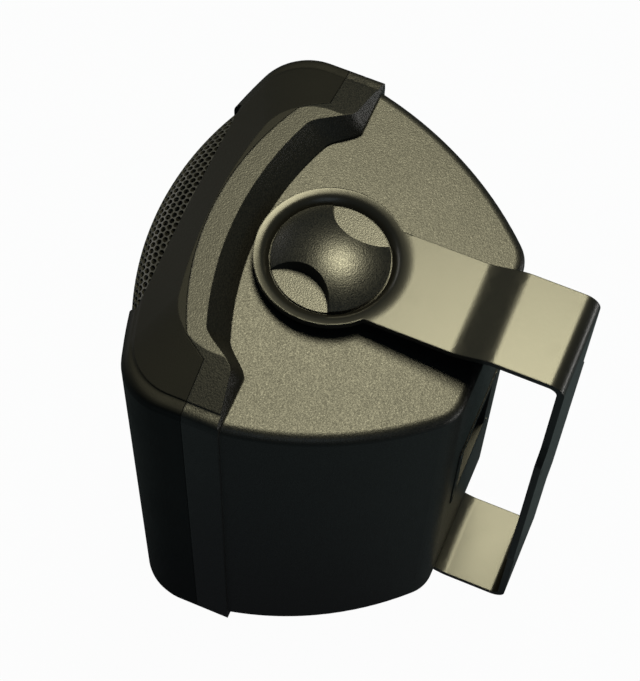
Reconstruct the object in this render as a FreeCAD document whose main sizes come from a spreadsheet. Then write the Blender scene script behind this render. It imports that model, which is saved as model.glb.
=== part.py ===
import FreeCAD, Part
import math
import os
from types import SimpleNamespace

from FreeCAD import Placement, Rotation, Vector

# Compact two-way passive speaker on a swivelling U bracket, in millimetres.
# Front faces -Y, rear +Y, up +Z, and the origin lies under the middle of the whole.
# The pieces are drawn about the swivel axis and the mid height, then moved to that origin.

doc = FreeCAD.newDocument("speaker")

SIZES = (
    ("half_height", 136.3),
    ("half_width", 97.4),
    ("frame_reach", 79.8),
    ("frame_radius", 250.0),
    ("frame_corner", 26.0),
    ("frame_slope_run", 22.0),
    ("frame_round", 9.0),
    ("slope_angle", 23.0),
    ("crown_run", 30.0),
    ("crown_angle", 17.0),
    ("crown_round", 3.0),
    ("crown_round_share", 0.35),
    ("band_reach", 12.5),
    ("grille_reach", 84.4),
    ("grille_radius", 143.8),
    ("grille_slope_run", 24.8),
    ("grille_round", 14.0),
    ("frame_wall", 3.6),
    ("seam_reach", 57.2),
    ("seam_radius", 138.0),
    ("seam_arc_half", 64.0),
    ("seam_side_half", 71.5),
    ("seam_side_reach", 30.0),
    ("seam_gap", 0.25),
    ("rim_reach", 46.0),
    ("rim_radius", 160.0),
    ("rim_arc_half", 56.0),
    ("rim_side_half", 73.0),
    ("rim_side_reach", 18.0),
    ("foot_reach", 35.5),
    ("foot_radius", 150.0),
    ("foot_arc_half", 54.0),
    ("foot_side_half", 71.0),
    ("foot_side_reach", 12.0),
    ("step_depth", 11.0),
    ("step_bend_share", 0.4),
    ("floor_angle", 5.5),
    ("band_step", 2.1),
    ("band_overlap", 6.0),
    ("side_start", 11.0),
    ("side_radius", 172.0),
    ("rear_reach", 80.5),
    ("rear_corner", 18.0),
    ("plate_round", 5.0),
    ("body_wall", 3.5),
    ("seat_radius", 27.0),
    ("seat_clear_radius", 33.0),
    ("seat_drop", 14.5),
    ("window_half", 58.0),
    ("window_reach", 69.0),
    ("grille_drop", 1.2),
    ("grille_thick", 1.0),
    ("grille_clear", 0.3),
    ("grille_ledge", 4.0),
    ("grille_pitch", 13.0),
    ("grille_hole", 8.6),
    ("baffle_reach", 62.0),
    ("baffle_thick", 4.3),
    ("frame_screw_x", 54.0),
    ("frame_screw_z", 101.0),
    ("frame_boss_radius", 5.0),
    ("boss_overlap", 6.0),
    ("rib_reach", 7.0),
    ("rib_half", 2.0),
    ("woofer_drop", 30.0),
    ("woofer_flange_radius", 62.0),
    ("woofer_screw_edge", 3.5),
    ("woofer_hole_radius", 55.0),
    ("woofer_flange_thick", 2.0),
    ("woofer_depth", 40.0),
    ("basket_sheet", 1.5),
    ("basket_bore", 22.0),
    ("basket_window", 20.0),
    ("basket_window_start", 4.0),
    ("basket_clear", 0.5),
    ("gasket_thick", 1.5),
    ("cone_radius", 42.0),
    ("cone_sheet", 0.8),
    ("cone_depth", 19.0),
    ("cone_rim", 2.0),
    ("surround_lap", 3.0),
    ("surround_sheet", 0.8),
    ("spider_stand", 12.0),
    ("spider_sheet", 0.6),
    ("spider_ridge", 1.2),
    ("spider_ledge", 3.0),
    ("spider_lap", 0.2),
    ("dust_cap_radius", 17.0),
    ("dust_cap_rise", 5.0),
    ("dust_cap_seat", 0.05),
    ("magnet_radius", 37.5),
    ("magnet_thick", 14.0),
    ("magnet_step", 4.0),
    ("plate_radius", 36.0),
    ("plate_thick", 5.0),
    ("pole_radius", 12.0),
    ("former_radius", 12.6),
    ("former_sheet", 0.4),
    ("coil_thick", 0.6),
    ("coil_clear", 0.4),
    ("coil_overhang", 3.5),
    ("tweeter_rise", 68.0),
    ("tweeter_radius", 32.0),
    ("tweeter_screw_edge", 3.4),
    ("tweeter_face_thick", 2.0),
    ("tweeter_neck", 2.0),
    ("tweeter_clear", 0.5),
    ("tweeter_lap", 3.0),
    ("horn_width", 7.0),
    ("horn_throat", 1.5),
    ("throat_rise", 0.4),
    ("throat_drop", 0.6),
    ("dome_sheet", 0.6),
    ("dome_rim", 4.0),
    ("dome_rim_thick", 0.8),
    ("tweeter_dome_radius", 12.7),
    ("tweeter_dome_rise", 4.5),
    ("tweeter_magnet_thick", 16.0),
    ("tweeter_magnet_radius", 23.0),
    ("arm_half_width", 24.0),
    ("arm_sheet", 3.5),
    ("ring_radius", 35.0),
    ("ring_flat_radius", 38.5),
    ("ring_roll", 13.9),
    ("ring_drop", 5.0),
    ("ring_hole", 3.3),
    ("washer_thick", 1.0),
    ("washer_bore", 6.0),
    ("washer_margin", 1.0),
    ("joggle_start", 66.0),
    ("joggle_end", 87.0),
    ("joggle_pull", 0.3),
    ("bracket_reach", 120.0),
    ("bend_radius", 8.0),
    ("pad_half_width", 30.0),
    ("pad_half_height", 62.0),
    ("pad_corner", 5.0),
    ("pad_flare", 1.5),
    ("wall_hole_x", 25.0),
    ("wall_hole_z", 45.0),
    ("wall_hole_radius", 2.75),
    ("knob_radius", 27.2),
    ("knob_edge", 2.4),
    ("knob_drop", 0.4),
    ("scallop_offset", 32.9),
    ("scallop_radius", 19.8),
    ("scallop_draft", 2.0),
    ("scallop_drop", 9.0),
    ("scallop_heading", -17.6),
    ("bolt_radius", 3.0),
    ("bolt_head_radius", 5.5),
    ("bolt_head_thick", 4.0),
    ("head_lift", 1.0),
    ("bolt_length", 21.0),
    ("insert_radius", 4.6),
    ("insert_length", 16.0),
    ("insert_sink", 0.3),
    ("thread_clear", 0.05),
    ("cup_half_width", 26.0),
    ("cup_half_height", 30.0),
    ("cup_depth", 24.0),
    ("cup_wall", 2.0),
    ("cup_flange", 4.5),
    ("cup_clear", 0.2),
    ("cup_screw_radius", 1.0),
    ("cup_screw_head", 1.9),
    ("cup_screw_thick", 1.2),
    ("post_spacing", 19.05),
    ("post_radius", 2.0),
    ("post_collar", 2.0),
    ("post_nut", 2.4),
    ("post_nut_radius", 4.4),
    ("post_tail", 8.0),
    ("post_recess", 1.0),
    ("cap_radius", 6.5),
    ("cap_length", 13.0),
    ("cap_gap", 0.3),
    ("flute_radius", 1.1),
    ("flute_offset", 0.6),
    ("flute_start", 1.5),
    ("screw_head_radius", 2.6),
    ("screw_head_thick", 1.6),
    ("screw_radius", 1.5),
    ("screw_length", 10.0),
    ("screw_slack", 1.0),
    ("screw_clear", 0.2),
    ("board_half_width", 25.0),
    ("board_half_height", 30.0),
    ("board_thick", 1.6),
    ("board_standoff", 6.0),
    ("board_screw_edge", 4.0),
    ("inductor_radius", 12.0),
    ("inductor_length", 12.0),
    ("capacitor_radius", 6.5),
    ("capacitor_length", 27.0),
    ("resistor_half", 4.0),
    ("resistor_thick", 8.0),
)

sheet = doc.addObject("Spreadsheet::Sheet", "sizes")
for row, (alias, number) in enumerate(SIZES, start=1):
    sheet.set(f"A{row}", alias)
    sheet.set(f"B{row}", str(number))
    sheet.setAlias(f"B{row}", alias)
DRIVEN = (
    ("seat_height", "half_height - seat_drop"),
    ("ring_top", "half_height - ring_drop"),
    ("knob_top", "half_height - knob_drop"),
    ("scallop_floor", "half_height - scallop_drop"),
    ("board_height", "half_height / 2"),
)
for row, (alias, formula) in enumerate(DRIVEN, start=len(SIZES) + 1):
    sheet.set(f"A{row}", alias)
    sheet.set(f"B{row}", "=" + formula)
    sheet.setAlias(f"B{row}", alias)
doc.recompute()
s = SimpleNamespace(**{alias: float(sheet.get(alias)) for alias, value in SIZES + DRIVEN})


# Plane geometry: points are (x, y) pairs, angles are in degrees.

def flat(x, y):
    return Vector(x, y, 0)


def line(start, end):
    return Part.LineSegment(flat(*start), flat(*end))


def polygon(points):
    return [line(start, end) for start, end in zip(points, points[1:] + points[:1])]


def on_circle(centre, radius, angle):
    turn = math.radians(angle)
    return (centre[0] + radius * math.cos(turn), centre[1] + radius * math.sin(turn))


def arc(centre, radius, start, end):
    """Arc about a centre, from one angle to the other, either way round."""
    stops = (start, (start + end) / 2, end)
    return Part.Arc(*(flat(*on_circle(centre, radius, angle)) for angle in stops))


# Document objects: every helper returns the object it adds.

UPRIGHT = Rotation(Vector(1, 0, 0), 90)
LEVEL = Rotation()


def sketch(name, geometry, height=0.0, turn=LEVEL, at=(0, 0)):
    drawn = doc.addObject("Sketcher::SketchObject", name)
    drawn.addGeometry(geometry, False)
    drawn.Placement = Placement(Vector(at[0], at[1], height), turn)
    return drawn


def extrude(name, profile, direction, length, reverse=None):
    """A prism on a closed sketch; length and reverse are expressions on the sheet."""
    added = doc.addObject("Part::Extrusion", name)
    added.Base = profile
    added.DirMode = "Custom"
    added.Dir = Vector(*direction)
    added.Solid = True
    added.setExpression("LengthFwd", length)
    if reverse:
        added.setExpression("LengthRev", reverse)
    return added


def revolve(name, profile, axis, base=(0, 0, 0)):
    added = doc.addObject("Part::Revolution", name)
    added.Source = profile
    added.Axis = Vector(*axis)
    added.Base = Vector(*base)
    added.Angle = 360.0
    added.Solid = True
    return added


def turned(name, points, at=(0, 0)):
    """A piece turned about an upright axis; points are (radius, height)."""
    profile = sketch(name + "_profile", polygon(points), 0.0, UPRIGHT, at)
    return revolve(name, profile, (0, 0, 1), (at[0], at[1], 0))


def turned_forward(name, points, height):
    """A piece turned about a level axis that runs front to back; points are (radius, y)."""
    profile = sketch(name + "_profile", polygon(points), height)
    return revolve(name, profile, (0, 1, 0), (0, 0, height))


def loft(name, profiles, ruled=False):
    added = doc.addObject("Part::Loft", name)
    added.Sections = profiles
    added.Solid = True
    added.Ruled = ruled
    return added


def cut(name, base, tool):
    added = doc.addObject("Part::Cut", name)
    added.Base = base
    added.Tool = tool
    return added


def common(name, base, tool):
    added = doc.addObject("Part::Common", name)
    added.Base = base
    added.Tool = tool
    return added


def fuse(name, *pieces):
    added = doc.addObject("Part::MultiFuse", name)
    added.Shapes = list(pieces)
    added.Refine = True
    return added


def mirror_below(name, source):
    """The mirror image in the plane of the mid height."""
    added = doc.addObject("Part::Mirroring", name)
    added.Source = source
    added.Normal = Vector(0, 0, 1)
    added.Base = Vector(0, 0, 0)
    return added


def both_ends(name, source):
    return fuse(name, source, mirror_below(name + "_lower", source))


def rounded(name, source, radius, chosen):
    """Fillet of the edges for which chosen(edge) is true."""
    doc.recompute()
    picks = [number for number, edge in enumerate(source.Shape.Edges, start=1) if chosen(edge)]
    added = doc.addObject("Part::Fillet", name)
    added.Base = source
    added.Edges = [(number, radius, radius) for number in picks]
    return added


def box(name, x, y, z):
    """A block between the given limits, each a pair of expressions on the sheet."""
    added = doc.addObject("Part::Box", name)
    for size, low, high, place in (
        ("Length", *x, "Placement.Base.x"),
        ("Width", *y, "Placement.Base.y"),
        ("Height", *z, "Placement.Base.z"),
    ):
        added.setExpression(size, f"({high}) - ({low})")
        added.setExpression(place, low)
    return added


def rod(name, radius, length, x="0", y="0", z="0", turn=LEVEL):
    """A cylinder whose sizes and foot are expressions on the sheet."""
    added = doc.addObject("Part::Cylinder", name)
    added.Placement = Placement(Vector(), turn)
    added.setExpression("Radius", radius)
    added.setExpression("Height", length)
    added.setExpression("Placement.Base.x", x)
    added.setExpression("Placement.Base.y", y)
    added.setExpression("Placement.Base.z", z)
    return added


# Front block: a bowed front with sloping ends, drawn once for the frame and once for the grille.

FRAME_FORM = SimpleNamespace(
    reach=s.frame_reach, radius=s.frame_radius, corner=s.frame_corner, run=s.frame_slope_run,
    round=s.frame_round, top=s.half_height, half_width=s.half_width,
)
GRILLE_FORM = SimpleNamespace(
    reach=s.grille_reach, radius=s.grille_radius, corner=s.frame_corner, run=s.grille_slope_run,
    round=s.grille_round, top=s.half_height - s.grille_drop, half_width=s.half_width - s.grille_drop,
)


def nose_outline(reach, half_width, corner, radius):
    """Bowed front with rounded corners, closed by a straight line behind the band."""
    centre = (0.0, radius - reach)
    side = half_width - corner
    hub = (side, centre[1] - math.sqrt((radius - corner) ** 2 - side**2))
    bearing = math.degrees(math.atan2(hub[1] - centre[1], hub[0]))
    other = 180.0 - bearing
    back = -s.band_reach
    return [
        line((-half_width, back), (-half_width, hub[1])),
        arc((-hub[0], hub[1]), corner, 180.0, other),
        arc(centre, radius, other - 360.0, bearing),
        arc(hub, corner, bearing, 0.0),
        line((half_width, hub[1]), (half_width, back)),
        line((half_width, back), (-half_width, back)),
    ]


ROUND_STEPS = 5


def nose_levels(form, inset):
    """Heights with what the front and the sides draw in there: a rounded edge, then the slopes."""
    slope = math.tan(math.radians(s.slope_angle))
    crown = math.tan(math.radians(s.crown_angle))
    sweep = math.radians(90.0 - s.slope_angle)
    top = form.top - inset
    round_run = form.round * (1 - math.cos(sweep))
    start = top - form.round * math.sin(sweep) - (form.run - round_run) * slope
    turns = [sweep * step / ROUND_STEPS for step in range(ROUND_STEPS + 1)]
    levels = [(start + form.round * math.sin(turn), form.round * (1 - math.cos(turn))) for turn in turns]
    levels.append((top, form.run))
    drawn = [(start, 0.0, 0.0)]
    for height, run in levels[1:]:
        below = top - height
        slant = max(0.0, s.crown_run - below / crown)
        edge = s.crown_round * math.exp(-max(0.0, below - s.crown_run * crown) / s.crown_round)
        drawn.append((height, run, math.hypot(slant, s.crown_round_share * edge)))
    return drawn


def nose_block(name, form, inset):
    """The front block, drawn in by the inset all over, as a closed solid."""
    levels = nose_levels(form, inset)
    sections = []
    for number, (height, run, side) in enumerate(levels):
        drawn_in = inset + run
        outline = nose_outline(
            form.reach - drawn_in, form.half_width - inset - side, form.corner - inset / 2, form.radius - drawn_in
        )
        sections.append(sketch(f"{name}_level_{number}", outline, height))
    shoulder = loft(name + "_shoulder", sections[:-1])
    slope = loft(name + "_slope", sections[-2:], True)
    cap = fuse(name + "_cap", shoulder, slope)
    straight = extrude(name + "_straight", sections[0], (0, 0, -1), f"{2 * levels[0][0]}")
    return fuse(name, straight, cap, mirror_below(name + "_foot", cap))


outer_nose = nose_block("outer_nose", FRAME_FORM, 0.0)
frame_hollow = nose_block("frame_hollow", FRAME_FORM, s.frame_wall)
grille_skin = nose_block("grille_skin", GRILLE_FORM, 0.0)
grille_back = nose_block("grille_back", GRILLE_FORM, s.grille_thick)


# Limits that lie clear outside the whole, for tools that cut right through.

FAR = 2 * s.half_height
OVERCUT = 1.0
BEYOND = "2 * sizes.half_height"
SIDEWAYS = Rotation(Vector(1, 1, 1), 120)


def slab(name, profile):
    """A section in the plane of symmetry, run out to both sides."""
    return extrude(
        name, sketch(name + "_section", polygon(profile), 0.0, SIDEWAYS), (1, 0, 0), BEYOND, BEYOND,
    )


# The seam between the front frame and the cabinet.

def bow_end(reach, radius, half):
    """Right-hand end of a bow that crosses the middle at the reach."""
    return (half, radius - reach - math.sqrt(radius**2 - half**2))


def bow(reach, radius, half):
    spread = math.degrees(math.asin(half / radius))
    return arc((0.0, radius - reach), radius, -90.0 - spread, -90.0 + spread)


def front_space(name, forward):
    """All the space in front of the seam, which the value moves forward."""
    end = bow_end(s.seam_reach + forward, s.seam_radius, s.seam_arc_half)
    step = (s.seam_side_half, -s.seam_side_reach - forward)
    right = [end, step, (FAR, step[1]), (FAR, -FAR)]
    left = [(-x, y) for x, y in reversed(right)]
    corners = right + left
    edges = [line(start, finish) for start, finish in zip(corners, corners[1:])]
    outline = sketch(
        name + "_outline", [bow(s.seam_reach + forward, s.seam_radius, s.seam_arc_half)] + edges,
    )
    return extrude(name, outline, (0, 0, 1), BEYOND, BEYOND)


# The recess in each end: a bowed step with an S bend at each side, and a floor that falls to the rear.

FALL = math.tan(math.radians(s.floor_angle))


def floor_height(y, below=0.0):
    return s.half_height - s.step_depth - (y + s.foot_reach) * FALL - below


def step_outline(reach, radius, arc_half, side_half, side_reach):
    end = bow_end(reach, radius, arc_half)
    lean = math.asin(arc_half / radius)
    bend = s.step_bend_share * (side_half - arc_half)
    side = (side_half, -side_reach)
    poles = [
        end,
        (end[0] + bend * math.cos(lean), end[1] + bend * math.sin(lean)),
        (side[0] - bend, side[1]),
        side,
    ]
    right = Part.BezierCurve()
    right.setPoles([flat(*pole) for pole in poles])
    left = Part.BezierCurve()
    left.setPoles([flat(-x, y) for x, y in reversed(poles)])
    return [
        bow(reach, radius, arc_half),
        right.toBSpline(),
        line(side, (FAR, side[1])),
        line((FAR, side[1]), (FAR, FAR)),
        line((FAR, FAR), (-FAR, FAR)),
        line((-FAR, FAR), (-FAR, side[1])),
        line((-FAR, side[1]), (-side[0], side[1])),
        left.toBSpline(),
    ]


rim = (s.rim_reach, s.rim_radius, s.rim_arc_half, s.rim_side_half, s.rim_side_reach)
foot = (s.foot_reach, s.foot_radius, s.foot_arc_half, s.foot_side_half, s.foot_side_reach)
rim_edge = sketch("rim_edge", step_outline(*rim), s.half_height)
foot_edge = sketch("foot_edge", step_outline(*foot), s.half_height - s.step_depth)
step_wall = loft("step_wall", [rim_edge, foot_edge], True)
above_rim = extrude("above_rim", rim_edge, (0, 0, 1), "sizes.step_depth")
below_foot = extrude("below_foot", foot_edge, (0, 0, -1), "2 * sizes.step_depth")
above_floor = slab(
    "above_floor", [(-FAR, floor_height(-FAR)), (FAR, floor_height(FAR)), (FAR, FAR), (-FAR, FAR)],
)
recess = common("recess", fuse("recess_space", step_wall, above_rim, below_foot), above_floor)
recesses = both_ends("recesses", recess)


# Main body: bowed sides, rounded rear corners and ends that follow the sloping floors.

SIDE_START = math.radians(s.side_start)


def body_outline(inset, front):
    """Plan of the body behind the line y = front, drawn in by the inset."""
    hub_x = s.half_width - s.band_step - s.side_radius * math.cos(SIDE_START)
    hub_y = -s.band_reach - s.side_radius * math.sin(SIDE_START)
    radius = s.side_radius - inset
    corner = s.rear_corner - inset
    back = s.rear_reach - inset
    turn_y = back - corner
    turn_x = hub_x + math.sqrt((radius - corner) ** 2 - (turn_y - hub_y) ** 2)
    start = math.degrees(math.asin((front - hub_y) / radius))
    join = math.degrees(math.atan2(turn_y - hub_y, turn_x - hub_x))
    first = on_circle((hub_x, hub_y), radius, start)
    return [
        line((-first[0], first[1]), first),
        arc((hub_x, hub_y), radius, start, join),
        arc((turn_x, turn_y), corner, join, 90.0),
        line((turn_x, back), (-turn_x, back)),
        arc((-turn_x, turn_y), corner, 90.0, 180.0 - join),
        arc((-hub_x, hub_y), radius, 180.0 - join, 180.0 - start),
    ]


def body_block(name, inset, front):
    plan = extrude(
        name + "_plan", sketch(name + "_outline", body_outline(inset, front)), (0, 0, 1), BEYOND, BEYOND,
    )
    top = [(-FAR, floor_height(-FAR, inset)), (FAR, floor_height(FAR, inset))]
    bottom = [(y, -z) for y, z in reversed(top)]
    return common(name, plan, slab(name + "_ends", top + bottom))


BODY_FRONT = -s.band_reach - s.band_overlap
body_raw = body_block("body_raw", 0.0, BODY_FRONT)


def end_edge(edge):
    """True on the edges around the top and the bottom of the body, behind its front face."""
    low, high = edge.BoundBox.ZMin, edge.BoundBox.ZMax
    return high * low > 0 and edge.BoundBox.YMax > BODY_FRONT + s.body_wall


body = rounded("body", body_raw, s.plate_round, end_edge)
cavity = body_block("cavity", s.body_wall, -s.frame_reach)
band = cut("band", cut("band_whole", outer_nose, recesses), front_space("front_of_cabinet", 0.0))
shell = cut("shell", fuse("cabinet_skin", body, band), cavity)
seat_space = both_ends(
    "seat_space",
    rod("seat_clear", "sizes.seat_clear_radius", "sizes.step_depth", z="sizes.seat_height"),
)
seat = rod("seat", "sizes.seat_radius", "2 * sizes.body_wall", z="sizes.seat_height - 2 * sizes.body_wall")
pivot_boss = rod(
    "pivot_boss",
    "2 * sizes.insert_radius",
    "sizes.insert_length",
    z="sizes.seat_height - sizes.insert_length - sizes.body_wall / 2",
)
insert_hole = rod("insert_hole", "sizes.insert_radius", BEYOND, z="-sizes.half_height")
seats = both_ends("seats", fuse("seat_and_boss", seat, pivot_boss))


def four_corners(x, z):
    return [(side * x, end * z) for side in (-1, 1) for end in (-1, 1)]


FRAME_SCREWS = four_corners(s.frame_screw_x, s.frame_screw_z)
BAFFLE_BACK = -(s.baffle_reach - s.baffle_thick)
TO_REAR = Rotation(Vector(1, 0, 0), -90)


def level_rods(name, places, radius, start, end):
    """Rods that run front to back at the given (x, z) places, joined in one object."""
    rods = []
    for number, (x, z) in enumerate(places, start=1):
        rods.append(rod(f"{name}_{number}", radius, f"{end - start}", f"{x}", f"{start}", f"{z}", TO_REAR))
    return fuse(name, *rods) if len(rods) > 1 else rods[0]


BOSS_END = -s.foot_reach + s.boss_overlap
frame_bosses = level_rods("frame_bosses", FRAME_SCREWS, "sizes.frame_boss_radius", BAFFLE_BACK, BOSS_END)
boss_ribs = both_ends(
    "boss_ribs",
    fuse(
        "upper_ribs",
        *(
            box(
                f"rib_{side}",
                (
                    f"{side} * sizes.frame_screw_x - sizes.rib_half",
                    f"{side} * sizes.frame_screw_x + sizes.rib_half",
                ),
                ("-sizes.foot_reach - sizes.rib_reach", "-sizes.foot_reach + sizes.boss_overlap"),
                ("sizes.frame_screw_z", "sizes.half_height - sizes.step_depth"),
            )
            for side in (-1, 1)
        ),
    ),
)
frame_screw_holes = level_rods(
    "frame_screw_holes", FRAME_SCREWS, "sizes.screw_radius",
    BAFFLE_BACK - OVERCUT, BAFFLE_BACK + s.screw_length,
)
BOARD_Y = s.rear_reach - s.body_wall - s.board_standoff
BOARD_CORNERS = four_corners(
    s.board_half_width - s.board_screw_edge, s.board_half_height - s.board_screw_edge,
)
BOARD_SCREWS = [(x, s.board_height + z) for x, z in BOARD_CORNERS]
standoffs = level_rods(
    "standoffs", BOARD_SCREWS, "sizes.screw_radius * 2", BOARD_Y, s.rear_reach - s.body_wall / 2,
)
board_screw_holes = level_rods(
    "board_screw_holes", BOARD_SCREWS, "sizes.screw_radius", BOARD_Y, s.rear_reach - OVERCUT,
)
cup_opening = box(
    "cup_opening",
    (
        "-sizes.cup_half_width + sizes.cup_flange - sizes.cup_clear",
        "sizes.cup_half_width - sizes.cup_flange + sizes.cup_clear",
    ),
    ("sizes.rear_reach - 3 * sizes.body_wall", "sizes.rear_reach + sizes.body_wall"),
    (
        "-sizes.cup_half_height + sizes.cup_flange - sizes.cup_clear",
        "sizes.cup_half_height - sizes.cup_flange + sizes.cup_clear",
    ),
)
CUP_SCREWS = four_corners(s.cup_half_width - s.cup_flange / 2, s.cup_half_height - s.cup_flange / 2)
cup_screw_holes = level_rods(
    "cup_screw_holes", CUP_SCREWS, "sizes.cup_screw_radius",
    s.rear_reach - s.body_wall - OVERCUT, s.rear_reach + OVERCUT,
)
cabinet_full = fuse(
    "cabinet_full", cut("cabinet_seated", shell, seat_space), seats, frame_bosses, boss_ribs, standoffs,
)
cabinet_holes = fuse(
    "cabinet_holes", insert_hole, frame_screw_holes, board_screw_holes, cup_opening, cup_screw_holes
)
cabinet = cut("cabinet", cabinet_full, cabinet_holes)


# Front frame: a shell with an integral baffle, open where the grille sits.

WOOFER_Z = -s.woofer_drop
TWEETER_Z = s.tweeter_rise
frame_outer = common("frame_outer", outer_nose, front_space("front_of_seam", s.seam_gap))
frame_shell = cut("frame_shell", frame_outer, frame_hollow)
window = box(
    "window", ("-sizes.window_half", "sizes.window_half"), (
        "-2 * sizes.grille_reach", "-sizes.window_reach",
    ),
    (f"-{BEYOND}", BEYOND),
)
grille_seat = cut("grille_seat", window, grille_back)
window_through = box(
    "window_through",
    ("-sizes.window_half + sizes.grille_ledge", "sizes.window_half - sizes.grille_ledge"),
    ("-2 * sizes.grille_reach", "-sizes.window_reach - sizes.grille_ledge"),
    (f"-{BEYOND}", BEYOND),
)
window_front = box(
    "window_front",
    ("-sizes.window_half + sizes.grille_ledge", "sizes.window_half - sizes.grille_ledge"),
    ("-2 * sizes.grille_reach", "-sizes.baffle_reach"),
    ("-sizes.half_height + sizes.frame_slope_run", "sizes.half_height - sizes.frame_slope_run"),
)
baffle_slice = box(
    "baffle_slice", (f"-{BEYOND}", BEYOND), (
        "-sizes.baffle_reach", "-sizes.baffle_reach + sizes.baffle_thick",
    ),
    (f"-{BEYOND}", BEYOND),
)
baffle = common("baffle", baffle_slice, frame_hollow)


def ring_places(radius, count, z, first=45.0):
    return [
        (radius * math.cos(math.radians(first + 360.0 * n / count)),
         z + radius * math.sin(math.radians(first + 360.0 * n / count)))
        for n in range(count)
    ]


WOOFER_SCREWS = ring_places(s.woofer_flange_radius - s.woofer_screw_edge, 4, WOOFER_Z)
TWEETER_SCREWS = ring_places(s.tweeter_radius - s.tweeter_screw_edge, 4, TWEETER_Z)
BAFFLE_FRONT = -s.baffle_reach
baffle_holes = fuse(
    "baffle_holes",
    level_rods(
        "woofer_hole", [(0.0, WOOFER_Z)], "sizes.woofer_hole_radius", BAFFLE_FRONT - OVERCUT,
        BAFFLE_BACK + OVERCUT,
    ),
    level_rods(
        "tweeter_hole", [(0.0, TWEETER_Z)], "sizes.tweeter_magnet_radius + sizes.tweeter_clear",
        BAFFLE_FRONT - OVERCUT, BAFFLE_BACK + OVERCUT,
    ),
    level_rods(
        "woofer_pilots", WOOFER_SCREWS, "sizes.screw_radius", BAFFLE_FRONT - OVERCUT, BAFFLE_BACK + OVERCUT,
    ),
    level_rods(
        "tweeter_pilots", TWEETER_SCREWS, "sizes.screw_radius", BAFFLE_FRONT - OVERCUT,
        BAFFLE_BACK + OVERCUT,
    ),
    level_rods(
        "frame_screw_clear", FRAME_SCREWS, "sizes.screw_radius + sizes.screw_clear",
        BAFFLE_FRONT - OVERCUT, BAFFLE_BACK + OVERCUT,
    ),
)
frame_openings = fuse("frame_openings", grille_seat, window_through, window_front, baffle_holes)
front_frame = cut("front_frame", fuse("frame_whole", frame_shell, baffle), frame_openings)


# Grille: a bowed sheet that follows the front and turns in over both ends.

grille_space = box(
    "grille_space",
    ("-sizes.window_half + sizes.grille_clear", "sizes.window_half - sizes.grille_clear"),
    ("-2 * sizes.grille_reach", "-sizes.window_reach - sizes.grille_clear"),
    (f"-{BEYOND}", BEYOND),
)
grille_blank = cut("grille_blank", common("grille_front", grille_skin, grille_space), grille_back)


def hexagon(x, z, radius):
    corners = [on_circle((x, z), radius, 60.0 * n) for n in range(6)]
    return Part.makePolygon([Vector(a, -2 * s.grille_reach, b) for a, b in corners + corners[:1]])


def grille_places():
    """Staggered rows, kept clear of the sides and of the turned-in ends."""
    row_pitch = s.grille_pitch * math.sqrt(3) / 2
    tall = s.half_height - s.grille_slope_run
    wide = s.window_half - s.grille_ledge
    rows = int(tall / row_pitch)
    for row in range(-rows, rows + 1):
        shift = 0.5 * s.grille_pitch * (row % 2)
        columns = int((wide - s.grille_hole / 2 - shift) / s.grille_pitch)
        first = -columns - (row % 2 if shift else 0)
        for column in range(first, columns + 1):
            yield (column * s.grille_pitch + shift, row * row_pitch)


grille_punches = doc.addObject("Part::Feature", "grille_punches")
punch_run = Vector(0, 1.5 * s.grille_reach, 0)
grille_punches.Shape = Part.makeCompound(
    [Part.Face(hexagon(x, z, s.grille_hole / 2)).extrude(punch_run) for x, z in grille_places()]
)
grille = cut("grille", grille_blank, grille_punches)


# Woofer: everything is turned about its own level axis.

def driver_piece(name, points, z=WOOFER_Z):
    return turned_forward(name, points, z)


FLANGE_BACK = BAFFLE_FRONT - s.gasket_thick
FLANGE_FRONT = FLANGE_BACK - s.woofer_flange_thick
BASKET_BACK = FLANGE_BACK + s.woofer_depth
sheet_w = s.basket_sheet
woofer_gasket_ring = driver_piece(
    "woofer_gasket_ring",
    [
        (s.woofer_hole_radius, FLANGE_BACK),
        (s.woofer_flange_radius, FLANGE_BACK),
        (s.woofer_flange_radius, BAFFLE_FRONT),
        (s.woofer_hole_radius, BAFFLE_FRONT),
    ],
)
woofer_gasket = cut(
    "woofer_gasket",
    woofer_gasket_ring,
    level_rods(
        "gasket_holes", WOOFER_SCREWS, "sizes.screw_radius", FLANGE_BACK - OVERCUT, BAFFLE_FRONT + OVERCUT,
    ),
)
throat_r = s.woofer_hole_radius - s.basket_clear
rear_r = s.plate_radius + sheet_w
basket_turned = driver_piece(
    "basket_turned",
    [
        (s.woofer_flange_radius, FLANGE_FRONT),
        (s.woofer_flange_radius, FLANGE_BACK),
        (throat_r, FLANGE_BACK),
        (throat_r, BAFFLE_BACK),
        (rear_r, BASKET_BACK - s.plate_thick / 2),
        (rear_r, BASKET_BACK),
        (s.basket_bore, BASKET_BACK),
        (s.basket_bore, BASKET_BACK - sheet_w),
        (rear_r - sheet_w, BASKET_BACK - sheet_w),
        (rear_r - sheet_w, BASKET_BACK - s.plate_thick / 2 - s.basket_clear),
        (throat_r - sheet_w, BAFFLE_BACK - s.basket_clear),
        (throat_r - sheet_w, FLANGE_FRONT),
    ],
)


def basket_inner(y):
    """Inner radius of the basket's sloping wall at a place along the axis."""
    front = (throat_r - sheet_w, BAFFLE_BACK - s.basket_clear)
    back = (rear_r - sheet_w, BASKET_BACK - s.plate_thick / 2 - s.basket_clear)
    share = (y - front[1]) / (back[1] - front[1])
    return front[0] + share * (back[0] - front[0])


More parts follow.
